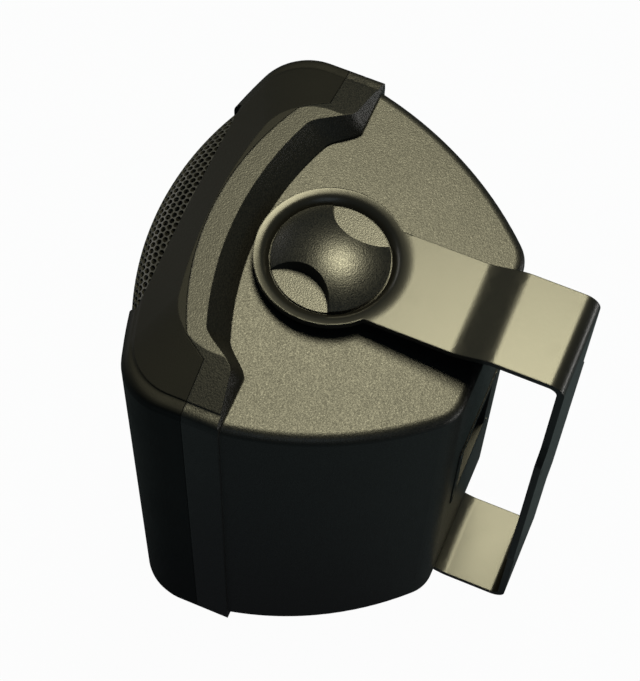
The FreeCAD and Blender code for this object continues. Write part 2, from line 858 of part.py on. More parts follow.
basket_windows = []
for number in range(3):
    slot = box(
        f"basket_window_{number}",
        (f"-{BEYOND}", BEYOND),
        (f"{BAFFLE_BACK + s.basket_window_start}", f"{BASKET_BACK - s.plate_thick}"),
        ("-sizes.basket_window / 2", "sizes.basket_window / 2"),
    )
    turner = doc.addObject("Part::Compound", f"basket_window_turn_{number}")
    turner.Links = [slot]
    turner.Placement = Placement(Vector(0, 0, WOOFER_Z), Rotation(Vector(0, 1, 0), 60.0 * number))
    basket_windows.append(turner)
basket_open = cut("basket_open", basket_turned, fuse("basket_windows", *basket_windows))
spider_y = BASKET_BACK - s.spider_stand
spider_outer = basket_inner(spider_y)
spider_ledge = driver_piece(
    "spider_ledge",
    [
        (spider_outer - s.spider_ledge, spider_y),
        (spider_outer + s.spider_lap, spider_y),
        (spider_outer + s.spider_lap, spider_y + sheet_w),
        (spider_outer - s.spider_ledge, spider_y + sheet_w),
    ],
)
woofer_basket = cut(
    "woofer_basket",
    fuse("basket_with_ledge", basket_open, spider_ledge),
    level_rods(
        "basket_holes", WOOFER_SCREWS, "sizes.screw_radius", FLANGE_FRONT - OVERCUT, FLANGE_BACK + OVERCUT,
    ),
)

former_outer = s.former_radius + s.former_sheet
cone_front = FLANGE_FRONT
cone_back = cone_front + s.cone_depth
cone_slope = (s.cone_depth - s.cone_sheet) / (s.cone_radius - former_outer)
woofer_cone = driver_piece(
    "woofer_cone",
    [
        (former_outer, cone_back),
        (former_outer, cone_back - s.cone_sheet),
        (s.cone_radius, cone_front),
        (s.cone_radius + s.cone_rim, cone_front),
        (s.cone_radius + s.cone_rim, cone_front + s.cone_sheet),
        (s.cone_radius + s.cone_rim / 4, cone_front + s.cone_sheet),
    ],
)
lip_front = cone_front - s.surround_sheet
roll_start = s.cone_radius + s.cone_rim
roll_stop = throat_r - sheet_w + 2 * s.basket_clear
roll_middle = (roll_start + roll_stop) / 2
roll_outer = (roll_stop - roll_start - s.surround_sheet) / 2
lip_end = s.woofer_flange_radius - s.woofer_screw_edge - s.screw_head_radius - s.screw_clear
ROLL_STEPS = 8


def roll_points(radius, y):
    """Half a round roll that bulges forward, from its inner foot to its outer one."""
    turns = [-180.0 + 180.0 * step / ROLL_STEPS for step in range(ROLL_STEPS + 1)]
    return [on_circle((roll_middle, y), radius, turn) for turn in turns]


surround_front = [
    (roll_start - s.surround_lap, lip_front), *roll_points(roll_outer, lip_front), (lip_end, lip_front),
]
surround_back = [
    (roll_start - s.surround_lap, cone_front), *roll_points(
        roll_outer - s.surround_sheet, cone_front,
    ), (lip_end, cone_front),
]
woofer_surround = driver_piece("woofer_surround", surround_front + surround_back[::-1])


def ripple(inner, outer, y, thick, waves, height):
    """A flat ring with ridges: its front outline, then the same line shifted back."""
    steps = 2 * waves
    front = []
    for n in range(steps + 1):
        lift = height * (n % 2)
        front.append((inner + (outer - inner) * n / steps, y - lift))
    back = [(r, place + thick) for r, place in reversed(front)]
    return front + back


woofer_spider = driver_piece(
    "woofer_spider",
    ripple(
        former_outer, spider_outer - s.spider_lap, spider_y - s.spider_sheet, s.spider_sheet, 4,
        s.spider_ridge,
    ),
)
coil_former = driver_piece(
    "coil_former",
    [
        (s.former_radius, cone_back - s.cone_sheet),
        (former_outer, cone_back - s.cone_sheet),
        (former_outer, BASKET_BACK + s.plate_thick + s.coil_overhang),
        (s.former_radius, BASKET_BACK + s.plate_thick + s.coil_overhang),
    ],
)
coil_outer = former_outer + s.coil_thick
voice_coil = driver_piece(
    "voice_coil",
    [
        (former_outer, BASKET_BACK - s.coil_overhang),
        (coil_outer, BASKET_BACK - s.coil_overhang),
        (coil_outer, BASKET_BACK + s.plate_thick + s.coil_overhang),
        (former_outer, BASKET_BACK + s.plate_thick + s.coil_overhang),
    ],
)


DOME_STEPS = 5


def dome_points(radius, rise, sheet_thick, edge_y):
    """A thin spherical cap that bulges forward from its edge: its front, then its back."""
    ball = (radius**2 + rise**2) / (2 * rise)
    centre_y = edge_y - rise + ball

    def cap(ball_radius):
        rim = radius * ball_radius / ball
        places = [rim * step / DOME_STEPS for step in range(DOME_STEPS + 1)]
        return [(place, centre_y - math.sqrt(ball_radius**2 - place**2)) for place in places]

    return cap(ball) + cap(ball - sheet_thick)[::-1]


cap_ball = (s.dust_cap_radius**2 + s.dust_cap_rise**2) / (2 * s.dust_cap_rise)
cap_foot = s.dust_cap_radius * (1 - s.cone_sheet / cap_ball)
cap_lip = (cap_ball - s.dust_cap_rise) * s.cone_sheet / cap_ball
cone_face_y = cone_back - s.cone_sheet - (cap_foot - former_outer) * cone_slope
cap_edge_y = cone_face_y - cap_lip - s.dust_cap_seat
dust_cap = driver_piece(
    "dust_cap", dome_points(s.dust_cap_radius, s.dust_cap_rise, s.cone_sheet, cap_edge_y),
)
gap_outer = coil_outer + s.coil_clear
woofer_top_plate = driver_piece(
    "woofer_top_plate",
    [
        (gap_outer, BASKET_BACK),
        (s.plate_radius, BASKET_BACK),
        (s.plate_radius, BASKET_BACK + s.plate_thick),
        (gap_outer, BASKET_BACK + s.plate_thick),
    ],
)
MAGNET_FRONT = BASKET_BACK + s.plate_thick
MAGNET_BACK = MAGNET_FRONT + s.magnet_thick
woofer_magnet = driver_piece(
    "woofer_magnet",
    [
        (gap_outer + s.magnet_step, MAGNET_FRONT),
        (s.magnet_radius, MAGNET_FRONT),
        (s.magnet_radius, MAGNET_BACK),
        (gap_outer + s.magnet_step, MAGNET_BACK),
    ],
)
woofer_yoke = driver_piece(
    "woofer_yoke",
    [
        (0.0, BASKET_BACK),
        (s.pole_radius, BASKET_BACK),
        (s.pole_radius, MAGNET_BACK),
        (s.plate_radius, MAGNET_BACK),
        (s.plate_radius, MAGNET_BACK + s.plate_thick),
        (0.0, MAGNET_BACK + s.plate_thick),
    ],
)


# Tweeter

TWEETER_FRONT = BAFFLE_FRONT - s.tweeter_face_thick
dome_back = BAFFLE_FRONT + s.tweeter_neck
tweeter_face = driver_piece(
    "tweeter_face",
    [
        (s.tweeter_radius, BAFFLE_FRONT),
        (s.tweeter_radius, TWEETER_FRONT),
        (s.tweeter_dome_radius + s.horn_width, TWEETER_FRONT),
        (s.tweeter_dome_radius + s.horn_throat, BAFFLE_FRONT - s.throat_rise),
        (s.tweeter_dome_radius + s.horn_throat, BAFFLE_FRONT + s.throat_drop),
        (s.tweeter_magnet_radius - s.tweeter_lap, BAFFLE_FRONT + s.throat_drop),
        (s.tweeter_magnet_radius - s.tweeter_lap, dome_back),
        (s.tweeter_magnet_radius, dome_back),
        (s.tweeter_magnet_radius, BAFFLE_FRONT),
    ],
    TWEETER_Z,
)
tweeter_faceplate = cut(
    "tweeter_faceplate",
    tweeter_face,
    level_rods(
        "face_holes", TWEETER_SCREWS, "sizes.screw_radius", TWEETER_FRONT - OVERCUT, BAFFLE_FRONT + OVERCUT,
    ),
)
dome_flange = driver_piece(
    "dome_flange",
    [
        (s.tweeter_dome_radius - s.dome_sheet, dome_back - s.dome_rim_thick),
        (s.tweeter_dome_radius + s.dome_rim, dome_back - s.dome_rim_thick),
        (s.tweeter_dome_radius + s.dome_rim, dome_back),
        (s.tweeter_dome_radius - s.dome_sheet, dome_back),
    ],
    TWEETER_Z,
)
dome_cap = driver_piece(
    "dome_cap",
    dome_points(s.tweeter_dome_radius, s.tweeter_dome_rise, s.dome_sheet, dome_back - s.dome_sheet),
    TWEETER_Z,
)
tweeter_dome = fuse("tweeter_dome", dome_flange, dome_cap)
tweeter_magnet = driver_piece(
    "tweeter_magnet",
    [
        (0.0, dome_back),
        (s.tweeter_magnet_radius, dome_back),
        (s.tweeter_magnet_radius, dome_back + s.tweeter_magnet_thick),
        (0.0, dome_back + s.tweeter_magnet_thick),
    ],
    TWEETER_Z,
)


# Screws: each group is one object of separate pan-head screws.

def screw_group(name, places, head_y, length, to_rear=True, shank="sizes.screw_radius"):
    """Heads lie in front of head_y, or behind it when they point forward."""
    way = 1.0 if to_rear else -1.0
    screws = []
    for number, (x, z) in enumerate(places):
        head_low = min(head_y, head_y - way * s.screw_head_thick)
        shank_low = min(head_y, head_y + way * length)
        head = rod(
            f"{name}_head_{number}", "sizes.screw_head_radius", "sizes.screw_head_thick",
            f"{x}", f"{head_low}", f"{z}", TO_REAR,
        )
        stem = rod(f"{name}_stem_{number}", shank, f"{length}", f"{x}", f"{shank_low}", f"{z}", TO_REAR)
        screws.append(fuse(f"{name}_{number}", head, stem))
    group = doc.addObject("Part::Compound", name)
    group.Links = screws
    return group


frame_screws = screw_group(
    "frame_screws", FRAME_SCREWS, BAFFLE_FRONT, s.baffle_thick + s.screw_length - s.screw_slack,
)
woofer_screws = screw_group("woofer_screws", WOOFER_SCREWS, FLANGE_FRONT, BAFFLE_BACK - FLANGE_FRONT)
tweeter_screws = screw_group("tweeter_screws", TWEETER_SCREWS, TWEETER_FRONT, BAFFLE_BACK - TWEETER_FRONT)


# Terminal cup, binding posts and their caps, in the rear wall.

CUP_FLOOR = s.rear_reach + s.cup_wall - s.cup_depth
POSTS = [(-s.post_spacing / 2, 0.0), (s.post_spacing / 2, 0.0)]
cup_solid = fuse(
    "cup_solid",
    box(
        "cup_plate", ("-sizes.cup_half_width", "sizes.cup_half_width"),
        ("sizes.rear_reach", "sizes.rear_reach + sizes.cup_wall"), (
            "-sizes.cup_half_height", "sizes.cup_half_height",
        ),
    ),
    box(
        "cup_tub",
        ("-sizes.cup_half_width + sizes.cup_flange", "sizes.cup_half_width - sizes.cup_flange"),
        (f"{CUP_FLOOR - s.cup_wall}", "sizes.rear_reach"),
        ("-sizes.cup_half_height + sizes.cup_flange", "sizes.cup_half_height - sizes.cup_flange"),
    ),
)
cup_space = box(
    "cup_space",
    ("-sizes.cup_half_width + sizes.cup_flange + sizes.cup_wall",
     "sizes.cup_half_width - sizes.cup_flange - sizes.cup_wall"),
    (f"{CUP_FLOOR}", "2 * sizes.rear_reach"),
    ("-sizes.cup_half_height + sizes.cup_flange + sizes.cup_wall",
     "sizes.cup_half_height - sizes.cup_flange - sizes.cup_wall"),
)
post_holes = level_rods(
    "post_holes", POSTS, "sizes.post_radius", CUP_FLOOR - 2 * s.cup_wall, CUP_FLOOR + OVERCUT,
)
cup_holes = level_rods(
    "cup_holes", CUP_SCREWS, "sizes.cup_screw_radius", s.rear_reach - OVERCUT, s.rear_reach + 2 * s.cup_wall
)
terminal_cup = cut("terminal_cup", cup_solid, fuse("cup_cuts", cup_space, post_holes, cup_holes))
cup_screws = []
for number, (x, z) in enumerate(CUP_SCREWS):
    head = rod(
        f"cup_screw_head_{number}", "sizes.cup_screw_head", "sizes.cup_screw_thick",
        f"{x}", "sizes.rear_reach + sizes.cup_wall", f"{z}", TO_REAR,
    )
    stem = rod(
        f"cup_screw_stem_{number}", "sizes.cup_screw_radius", "sizes.cup_wall + sizes.body_wall",
        f"{x}", "sizes.rear_reach - sizes.body_wall", f"{z}", TO_REAR,
    )
    cup_screws.append(fuse(f"cup_screw_{number}", head, stem))
terminal_screws = doc.addObject("Part::Compound", "terminal_screws")
terminal_screws.Links = cup_screws

CAP_START = CUP_FLOOR + s.post_collar + s.cap_gap


CAP_END = CAP_START + s.cap_length


def post(name, x):
    """Threaded post with a collar on the cup's floor and a nut behind it."""
    place = [(x, 0.0)]
    stem_start = CUP_FLOOR - s.cup_wall - s.post_tail
    stem = level_rods(name + "_stem", place, "sizes.post_radius", stem_start, CAP_END - s.post_recess)
    collar = level_rods(
        name + "_collar", place, "2 * sizes.post_radius", CUP_FLOOR, CUP_FLOOR + s.post_collar,
    )
    nut = doc.addObject("Part::Prism", name + "_nut")
    nut.Polygon = 6
    nut.Placement = Placement(Vector(x, CUP_FLOOR - s.cup_wall - s.post_nut, 0), TO_REAR)
    nut.setExpression("Circumradius", "sizes.post_nut_radius")
    nut.setExpression("Height", "sizes.post_nut")
    return fuse(name, stem, collar, nut)


FLUTES = 12


def post_cap(name, x):
    """Fluted cap that turns on the post."""
    place = [(x, 0.0)]
    blank = level_rods(name + "_blank", place, "sizes.cap_radius", CAP_START, CAP_END)
    bore = level_rods(
        name + "_bore", place, "sizes.post_radius + sizes.thread_clear",
        CAP_START - OVERCUT, CAP_END + OVERCUT,
    )
    flute_ring = s.cap_radius + s.flute_offset
    flutes = [on_circle((x, 0.0), flute_ring, 360.0 * number / FLUTES) for number in range(FLUTES)]
    grooves = level_rods(
        name + "_flutes", flutes, "sizes.flute_radius", CAP_START + s.flute_start, CAP_END + OVERCUT,
    )
    return cut(name, blank, fuse(name + "_cuts", bore, grooves))


post_left = post("post_left", POSTS[0][0])
post_right = post("post_right", POSTS[1][0])
post_cap_left = post_cap("post_cap_left", POSTS[0][0])
post_cap_right = post_cap("post_cap_right", POSTS[1][0])


# Crossover board on four standoffs of the rear wall.

BOARD_FRONT = BOARD_Y - s.board_thick
board_blank = box(
    "board_blank", ("-sizes.board_half_width", "sizes.board_half_width"), (f"{BOARD_FRONT}", f"{BOARD_Y}"),
    ("sizes.board_height - sizes.board_half_height", "sizes.board_height + sizes.board_half_height"),
)
crossover_board = cut(
    "crossover_board", board_blank,
    level_rods("board_holes", BOARD_SCREWS, "sizes.screw_radius", BOARD_FRONT - OVERCUT, BOARD_Y + OVERCUT),
)
COIL_PLACE = (-s.board_half_width / 3, s.board_height + s.board_half_height / 3)
crossover_coil = cut(
    "crossover_coil",
    level_rods(
        "coil_body", [COIL_PLACE], "sizes.inductor_radius", BOARD_FRONT - s.inductor_length, BOARD_FRONT,
    ),
    level_rods(
        "coil_core", [COIL_PLACE], "sizes.inductor_radius / 2", BOARD_FRONT - 2 * s.inductor_length,
        BOARD_FRONT + OVERCUT,
    ),
)
crossover_capacitor = rod(
    "crossover_capacitor", "sizes.capacitor_radius", "sizes.capacitor_length",
    "sizes.board_half_width / 2", f"{BOARD_FRONT - s.capacitor_radius}",
    "sizes.board_height - sizes.board_half_height / 2 - sizes.capacitor_length / 4",
)
crossover_resistor = box(
    "crossover_resistor",
    (
        "-sizes.board_half_width / 2 - sizes.resistor_half",
        "-sizes.board_half_width / 2 + sizes.resistor_half",
    ),
    (f"{BOARD_FRONT - s.resistor_thick}", f"{BOARD_FRONT}"),
    (
        "sizes.board_height - 0.8 * sizes.board_half_height",
        "sizes.board_height - sizes.board_half_height / 4",
    ),
)
board_screws = screw_group("board_screws", BOARD_SCREWS, BOARD_FRONT, s.screw_length)

pad_block = box(
    "pad_block", ("-sizes.half_width / 2", "sizes.half_width / 2"), (
        "sizes.seat_radius + 2 * sizes.body_wall", "0.8 * sizes.rear_reach",
    ),
    ("-sizes.half_height", "-0.62 * sizes.half_height"),
)
damping_pad = common("damping_pad", pad_block, cavity)


# Bracket: a folded strap with a dished ring at each end and a wider plate for the wall.

def bracket_edge(shift):
    """Upper half of the strap's edge in the plane of symmetry, moved inwards by the shift."""
    top = s.ring_top - shift
    outer = s.half_height - shift
    reach = s.bracket_reach - shift
    bend = s.bend_radius - shift
    pull = s.joggle_pull * (s.joggle_end - s.joggle_start)
    step = Part.BezierCurve()
    step.setPoles([
        flat(s.joggle_start, top), flat(s.joggle_start + pull, top),
        flat(s.joggle_end - pull, outer), flat(s.joggle_end, outer),
    ])
    turn = (s.bracket_reach - s.bend_radius, s.half_height - s.bend_radius)
    return [
        line((0.0, top), (s.joggle_start, top)),
        step.toBSpline(),
        line((s.joggle_end, outer), (turn[0], outer)),
        arc(turn, bend, 90.0, 0.0),
        line((reach, turn[1]), (reach, 0.0)),
    ]


half_section = bracket_edge(0.0) + bracket_edge(s.arm_sheet) + [
    line((s.bracket_reach, 0.0), (s.bracket_reach - s.arm_sheet, 0.0)),
    line((0.0, s.ring_top), (0.0, s.ring_top - s.arm_sheet)),
]
strap_upper = extrude(
    "strap_upper", sketch("strap_section", half_section, 0.0, SIDEWAYS), (1, 0, 0), "sizes.arm_half_width",
    "sizes.arm_half_width",
)
FLAT_OVERLAP = 1.0
strap_open = cut(
    "strap_open", strap_upper, rod("ring_clear", f"sizes.ring_flat_radius + {FLAT_OVERLAP / 2}", BEYOND),
)
DISH_FLOOR = s.seat_height + s.washer_thick
DISH_TOP = DISH_FLOOR + s.arm_sheet
ROLL_HUB = (s.ring_flat_radius, s.ring_top - s.ring_roll)


def roll_end(radius, height):
    """Where a roll of the ring meets a floor: the place on it and its bearing from the hub."""
    rise = height - ROLL_HUB[1]
    bearing = 180.0 - math.degrees(math.asin(rise / radius))
    return on_circle(ROLL_HUB, radius, bearing), bearing


upper_foot, upper_bearing = roll_end(s.ring_roll, DISH_TOP)
lower_foot, lower_bearing = roll_end(s.ring_roll - s.arm_sheet, DISH_FLOOR)
flat_end = s.ring_flat_radius + FLAT_OVERLAP
ring_profile = [
    line((s.ring_hole, DISH_TOP), upper_foot),
    arc(ROLL_HUB, s.ring_roll, upper_bearing, 90.0),
    line((s.ring_flat_radius, s.ring_top), (flat_end, s.ring_top)),
    line((flat_end, s.ring_top), (flat_end, s.ring_top - s.arm_sheet)),
    line((flat_end, s.ring_top - s.arm_sheet), (s.ring_flat_radius, s.ring_top - s.arm_sheet)),
    arc(ROLL_HUB, s.ring_roll - s.arm_sheet, 90.0, lower_bearing),
    line(lower_foot, (s.ring_hole, DISH_FLOOR)),
    line((s.ring_hole, DISH_FLOOR), (s.ring_hole, DISH_TOP)),
]
ring_whole = revolve("ring_whole", sketch("ring_section", ring_profile, 0.0, UPRIGHT), (0, 0, 1))
ring_keep = fuse(
    "ring_keep",
    rod("ring_disc", "sizes.ring_radius", BEYOND),
    box(
        "ring_root", ("-sizes.arm_half_width", "sizes.arm_half_width"), ("0", "2 * sizes.ring_radius"),
        ("0", BEYOND),
    ),
)
ring_upper = common("ring_upper", ring_whole, ring_keep)
arm_upper = fuse("arm_upper", strap_open, ring_upper)
shoulder_z = s.pad_half_height + s.pad_flare * (s.pad_half_width - s.arm_half_width)
pad_corners = [
    (s.arm_half_width, shoulder_z), (s.pad_half_width, s.pad_half_height),
    (s.pad_half_width, -s.pad_half_height), (s.arm_half_width, -shoulder_z),
    (-s.arm_half_width, -shoulder_z), (-s.pad_half_width, -s.pad_half_height),
    (-s.pad_half_width, s.pad_half_height), (-s.arm_half_width, shoulder_z),
]
pad_raw = extrude(
    "pad_raw", sketch("pad_outline", polygon(pad_corners), 0.0, UPRIGHT), (0, 1, 0), "sizes.bracket_reach",
    "-(sizes.bracket_reach - sizes.arm_sheet)",
)


def pad_corner_edge(edge):
    """True on the short edges through the sheet at the widest corners."""
    at_side = abs(abs(edge.CenterOfMass.x) - s.pad_half_width) < s.seam_gap
    return at_side and edge.BoundBox.YLength > s.arm_sheet / 2 and edge.BoundBox.ZLength < s.seam_gap


wall_pad = rounded("wall_pad", pad_raw, s.pad_corner, pad_corner_edge)
WALL_HOLES = four_corners(s.wall_hole_x, s.wall_hole_z)
u_bracket = cut(
    "u_bracket",
    fuse("bracket_whole", both_ends("arms", arm_upper), wall_pad),
    level_rods(
        "wall_holes", WALL_HOLES, "sizes.wall_hole_radius", s.bracket_reach - 2 * s.arm_sheet,
        s.bracket_reach + OVERCUT,
    ),
)


# Pivot hardware, upper set first; the lower set mirrors it.

INSERT_TOP = s.seat_height - s.insert_sink
pivot_insert_top = turned(
    "pivot_insert_top",
    [
        (s.bolt_radius + s.thread_clear, INSERT_TOP),
        (s.insert_radius, INSERT_TOP),
        (s.insert_radius, INSERT_TOP - s.insert_length),
        (s.bolt_radius + s.thread_clear, INSERT_TOP - s.insert_length),
    ],
)
WASHER_EDGE = s.seat_radius - s.washer_margin
pivot_washer_top = turned(
    "pivot_washer_top",
    [
        (s.washer_bore, s.seat_height), (WASHER_EDGE, s.seat_height),
        (WASHER_EDGE, DISH_FLOOR), (s.washer_bore, DISH_FLOOR),
    ],
)
head_bottom = DISH_TOP + s.head_lift
head_top = head_bottom + s.bolt_head_thick
knob_bolt_top = turned(
    "knob_bolt_top",
    [
        (0.0, head_top), (s.bolt_head_radius, head_top), (s.bolt_head_radius, head_bottom),
        (s.bolt_radius, head_bottom), (s.bolt_radius, head_bottom - s.bolt_length),
        (0.0, head_bottom - s.bolt_length),
    ],
)
edge_top = DISH_TOP + s.knob_edge
dome_rise = s.knob_top - edge_top
dome_ball = (s.knob_radius**2 + dome_rise**2) / (2 * dome_rise)
dome_spread = math.degrees(math.asin(s.knob_radius / dome_ball))
knob_profile = [
    arc((0.0, s.knob_top - dome_ball), dome_ball, 90.0, 90.0 - dome_spread),
    line((s.knob_radius, edge_top), (s.knob_radius, DISH_TOP)),
    line((s.knob_radius, DISH_TOP), (s.bolt_radius, DISH_TOP)),
    line((s.bolt_radius, DISH_TOP), (s.bolt_radius, head_bottom)),
    line((s.bolt_radius, head_bottom), (s.bolt_head_radius, head_bottom)),
    line((s.bolt_head_radius, head_bottom), (s.bolt_head_radius, head_top)),
    line((s.bolt_head_radius, head_top), (0.0, head_top)),
    line((0.0, head_top), (0.0, s.knob_top)),
]
knob_blank = revolve("knob_blank", sketch("knob_profile", knob_profile, 0.0, UPRIGHT), (0, 0, 1))
scallops = []
for number in range(2):
    place = on_circle((0.0, 0.0), s.scallop_offset, s.scallop_heading + 180.0 * number)
    scoop = doc.addObject("Part::Cone", f"scallop_{number}")
    scoop.Placement = Placement(Vector(place[0], place[1], s.scallop_floor), LEVEL)
    scoop.setExpression("Radius1", "sizes.scallop_radius")
    scoop.setExpression("Radius2", "sizes.scallop_radius + sizes.scallop_draft")
    scoop.setExpression("Height", f"sizes.knob_top - sizes.scallop_floor + {OVERCUT}")
    scallops.append(scoop)
knob_top = cut("knob_top", knob_blank, fuse("scallops", *scallops))
pivot_insert_bottom = mirror_below("pivot_insert_bottom", pivot_insert_top)
pivot_washer_bottom = mirror_below("pivot_washer_bottom", pivot_washer_top)
knob_bolt_bottom = mirror_below("knob_bolt_bottom", knob_bolt_top)
knob_bottom = mirror_below("knob_bottom", knob_top)


# Hand over: place each piece in the frame of the whole, check it and write it.

PIECES = (
    cabinet, front_frame, grille, woofer_gasket, woofer_basket, woofer_cone, woofer_surround, woofer_spider,
    coil_former, voice_coil, dust_cap, woofer_top_plate, woofer_magnet, woofer_yoke, tweeter_faceplate,
    tweeter_dome, tweeter_magnet, frame_screws, woofer_screws, tweeter_screws, terminal_cup, terminal_screws,
    post_left, post_right, post_cap_left, post_cap_right, crossover_board, crossover_coil, crossover_capacitor,
    crossover_resistor, board_screws, damping_pad, u_bracket, pivot_insert_top, pivot_insert_bottom,
    pivot_washer_top, pivot_washer_bottom, knob_bolt_top, knob_bolt_bottom, knob_top, knob_bottom,
)
MIDDLE = Vector(0, (s.grille_reach - s.bracket_reach) / 2, s.half_height)
doc.recompute()
for made in doc.Objects:
    if {"Invalid", "Error"} & set(made.State):
        raise RuntimeError(f"{made.Name} failed: {made.getStatusString()}")
os.makedirs("parts", exist_ok=True)
for piece in PIECES:
    shape = piece.Shape.copy()
    if shape.isNull() or not shape.isValid() or not shape.Solids:
        raise RuntimeError(f"{piece.Name} has no sound solid")
    shape.translate(MIDDLE)
    shape.exportStep(f"parts/{piece.Name}.step")
    print(piece.Name, len(shape.Solids), round(shape.Volume / 1000, 2))
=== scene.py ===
# %% [markdown]
# A small speaker on a swivelling bracket, seen from above its rear corner.
#
# The solids come from a packed model that is already to scale. This lesson loads them, sets up the
# camera and a soft studio, gives every surface a finish built from nodes, and makes the pieces whose
# detail is too fine for the solids, such as the perforated grille.

# %% Load the solids
import math

import bmesh
import bpy
from mathutils import Matrix, Vector


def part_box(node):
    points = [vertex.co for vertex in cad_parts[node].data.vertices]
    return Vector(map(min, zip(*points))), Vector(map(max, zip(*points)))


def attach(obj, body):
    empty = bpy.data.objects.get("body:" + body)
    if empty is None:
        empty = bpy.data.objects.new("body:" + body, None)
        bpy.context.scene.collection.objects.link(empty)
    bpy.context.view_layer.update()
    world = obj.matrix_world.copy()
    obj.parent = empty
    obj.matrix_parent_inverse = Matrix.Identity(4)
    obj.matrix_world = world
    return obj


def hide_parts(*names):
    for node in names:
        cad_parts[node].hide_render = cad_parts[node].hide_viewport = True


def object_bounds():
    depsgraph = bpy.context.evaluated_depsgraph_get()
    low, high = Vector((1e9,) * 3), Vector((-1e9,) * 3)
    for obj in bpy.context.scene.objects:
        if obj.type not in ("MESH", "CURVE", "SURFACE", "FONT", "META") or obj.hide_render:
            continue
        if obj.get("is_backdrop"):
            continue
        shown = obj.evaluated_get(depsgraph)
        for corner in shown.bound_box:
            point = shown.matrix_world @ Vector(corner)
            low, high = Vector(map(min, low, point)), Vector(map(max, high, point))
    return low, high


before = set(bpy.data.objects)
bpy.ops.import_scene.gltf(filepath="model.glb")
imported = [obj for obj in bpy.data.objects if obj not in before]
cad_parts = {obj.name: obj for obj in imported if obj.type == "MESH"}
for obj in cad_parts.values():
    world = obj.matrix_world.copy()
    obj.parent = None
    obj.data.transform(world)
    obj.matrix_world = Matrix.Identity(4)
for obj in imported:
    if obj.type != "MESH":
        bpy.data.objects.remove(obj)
solid_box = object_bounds()
MM = 0.001
TOP_Z = solid_box[1][2]
MIDDLE_Z = TOP_Z / 2
print("solids:", len(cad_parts), "height:", round(TOP_Z, 4), "m")

# %% [markdown]
# Camera. The photograph looks down at about 64 degrees from the speaker's right rear, through a long
# lens. The camera's three axes and its place fix that view, so they are written as one matrix. A
# track-to constraint would also aim it, but it couldn't give the slight roll.

# %% Camera
view_right = Vector((-0.38627, 0.92210, 0.02269))
view_up = Vector((-0.82531, -0.35650, 0.43791))
view_back = Vector((0.41189, 0.15043, 0.89873))
camera_place = Vector((0.4197, 0.1324, TOP_Z + 0.8206))
lens = bpy.data.cameras.new("camera")
lens.sensor_width = 36.0
lens.sensor_fit = "HORIZONTAL"
lens.lens = 117.84
lens.clip_start = 0.05
camera = bpy.data.objects.new("camera", lens)
bpy.context.scene.collection.objects.link(camera)
turn = Matrix((view_right, view_up, view_back)).transposed()
camera.matrix_world = Matrix.Translation(camera_place) @ turn.to_4x4()
bpy.context.scene.camera = camera
print("camera distance:", round(camera_place.length, 3), "m")

# %% [markdown]
# A socket wrapper. Shader maths reads best as plain sums, so this class keeps one output socket and
# turns each operator into a Math node. The reflected forms let a number stand on the left, as in
# 1 - mask. Every other node comes from one method, which sets the node's own settings before it
# fills the sockets.

# %% Shader sums
class Tap:
    """One output socket of a node tree, with arithmetic."""

    def __init__(self, tree, socket):
        self.tree = tree
        self.socket = socket

    def math(self, operation, first, second):
        return make(self.tree, "ShaderNodeMath", {"operation": operation}, {0: first, 1: second})

    def __add__(self, other):
        return self.math("ADD", self, other)

    __radd__ = __add__

    def __mul__(self, other):
        return self.math("MULTIPLY", self, other)

    __rmul__ = __mul__

    def __sub__(self, other):
        return self.math("SUBTRACT", self, other)

    def __rsub__(self, other):
        return self.math("SUBTRACT", other, self)

    def above(self, edge, width):
        """0 under the edge, 1 over it, with a smooth step of the given width."""
        settings = {"interpolation_type": "SMOOTHSTEP"}
        values = {"Value": self, "From Min": edge - width / 2, "From Max": edge + width / 2}
        return make(self.tree, "ShaderNodeMapRange", settings, values)


def make(tree, kind, settings=None, values=None, output=0):
    """Adds a node, sets it up, fills its sockets and returns one of its outputs."""
    node = tree.nodes.new(kind)
    for name, value in (settings or {}).items():
        setattr(node, name, value)
    for name, value in (values or {}).items():
        socket = node.inputs[name]
        if isinstance(value, Tap):
            tree.links.new(value.socket, socket)
        else:
            socket.default_value = value
    return Tap(tree, node.outputs[output]) if node.outputs else None


print("operators:", [name for name in vars(Tap) if name.endswith(("add__", "mul__", "sub__"))])

# %% [markdown]
# Two helpers on top of it. A Math node would turn a colour grey, so colours go through a Mix node,
# whose sockets are told apart by number. Light Path tells which kind of ray meets a surface.

# %% Colour mix and kinds of ray
def blend(tree, factor, first, second):
    """Mix of two colours."""
    return make(tree, "ShaderNodeMix", {"data_type": "RGBA"}, {0: factor, 6: first, 7: second}, 2)


def ray(tree, kind):
    """1 for rays of the given kind, such as those of the camera, and 0 for all others."""
    return make(tree, "ShaderNodeLightPath", {}, {}, kind)


print("helpers:", blend.__name__, "and", ray.__name__)

# %% [markdown]
# Lamps. The photograph has one large soft lamp that the flat ends mirror, and little other light.
# Area lamps give such broad reflections; point lamps would leave small hot spots. Two weaker lamps
# stand low in front and behind, where the photograph doesn't look, so that the grille and the
# bracket's web read well from their own sides.

# %% Lamps
SWIVEL_Y = -17.8 * MM
AIM_DEPTH = 20.0 * MM


def aim(holder, target):
    holder.rotation_euler = (target - holder.location).to_track_quat("-Z", "Y").to_euler()


def soft_lamp(name, bearing, distance, width, height, watts, tint):
    """A rectangular lamp that looks at a point under the upper knob."""
    target = Vector((0.0, SWIVEL_Y, TOP_Z - AIM_DEPTH))
    lamp = bpy.data.lights.new(name, "AREA")
    lamp.shape = "RECTANGLE"
    lamp.size = width
    lamp.size_y = height
    lamp.energy = watts
    lamp.color = tint
    holder = bpy.data.objects.new(name, lamp)
    bpy.context.scene.collection.objects.link(holder)
    holder.location = target + Vector(bearing).normalized() * distance
    aim(holder, target)


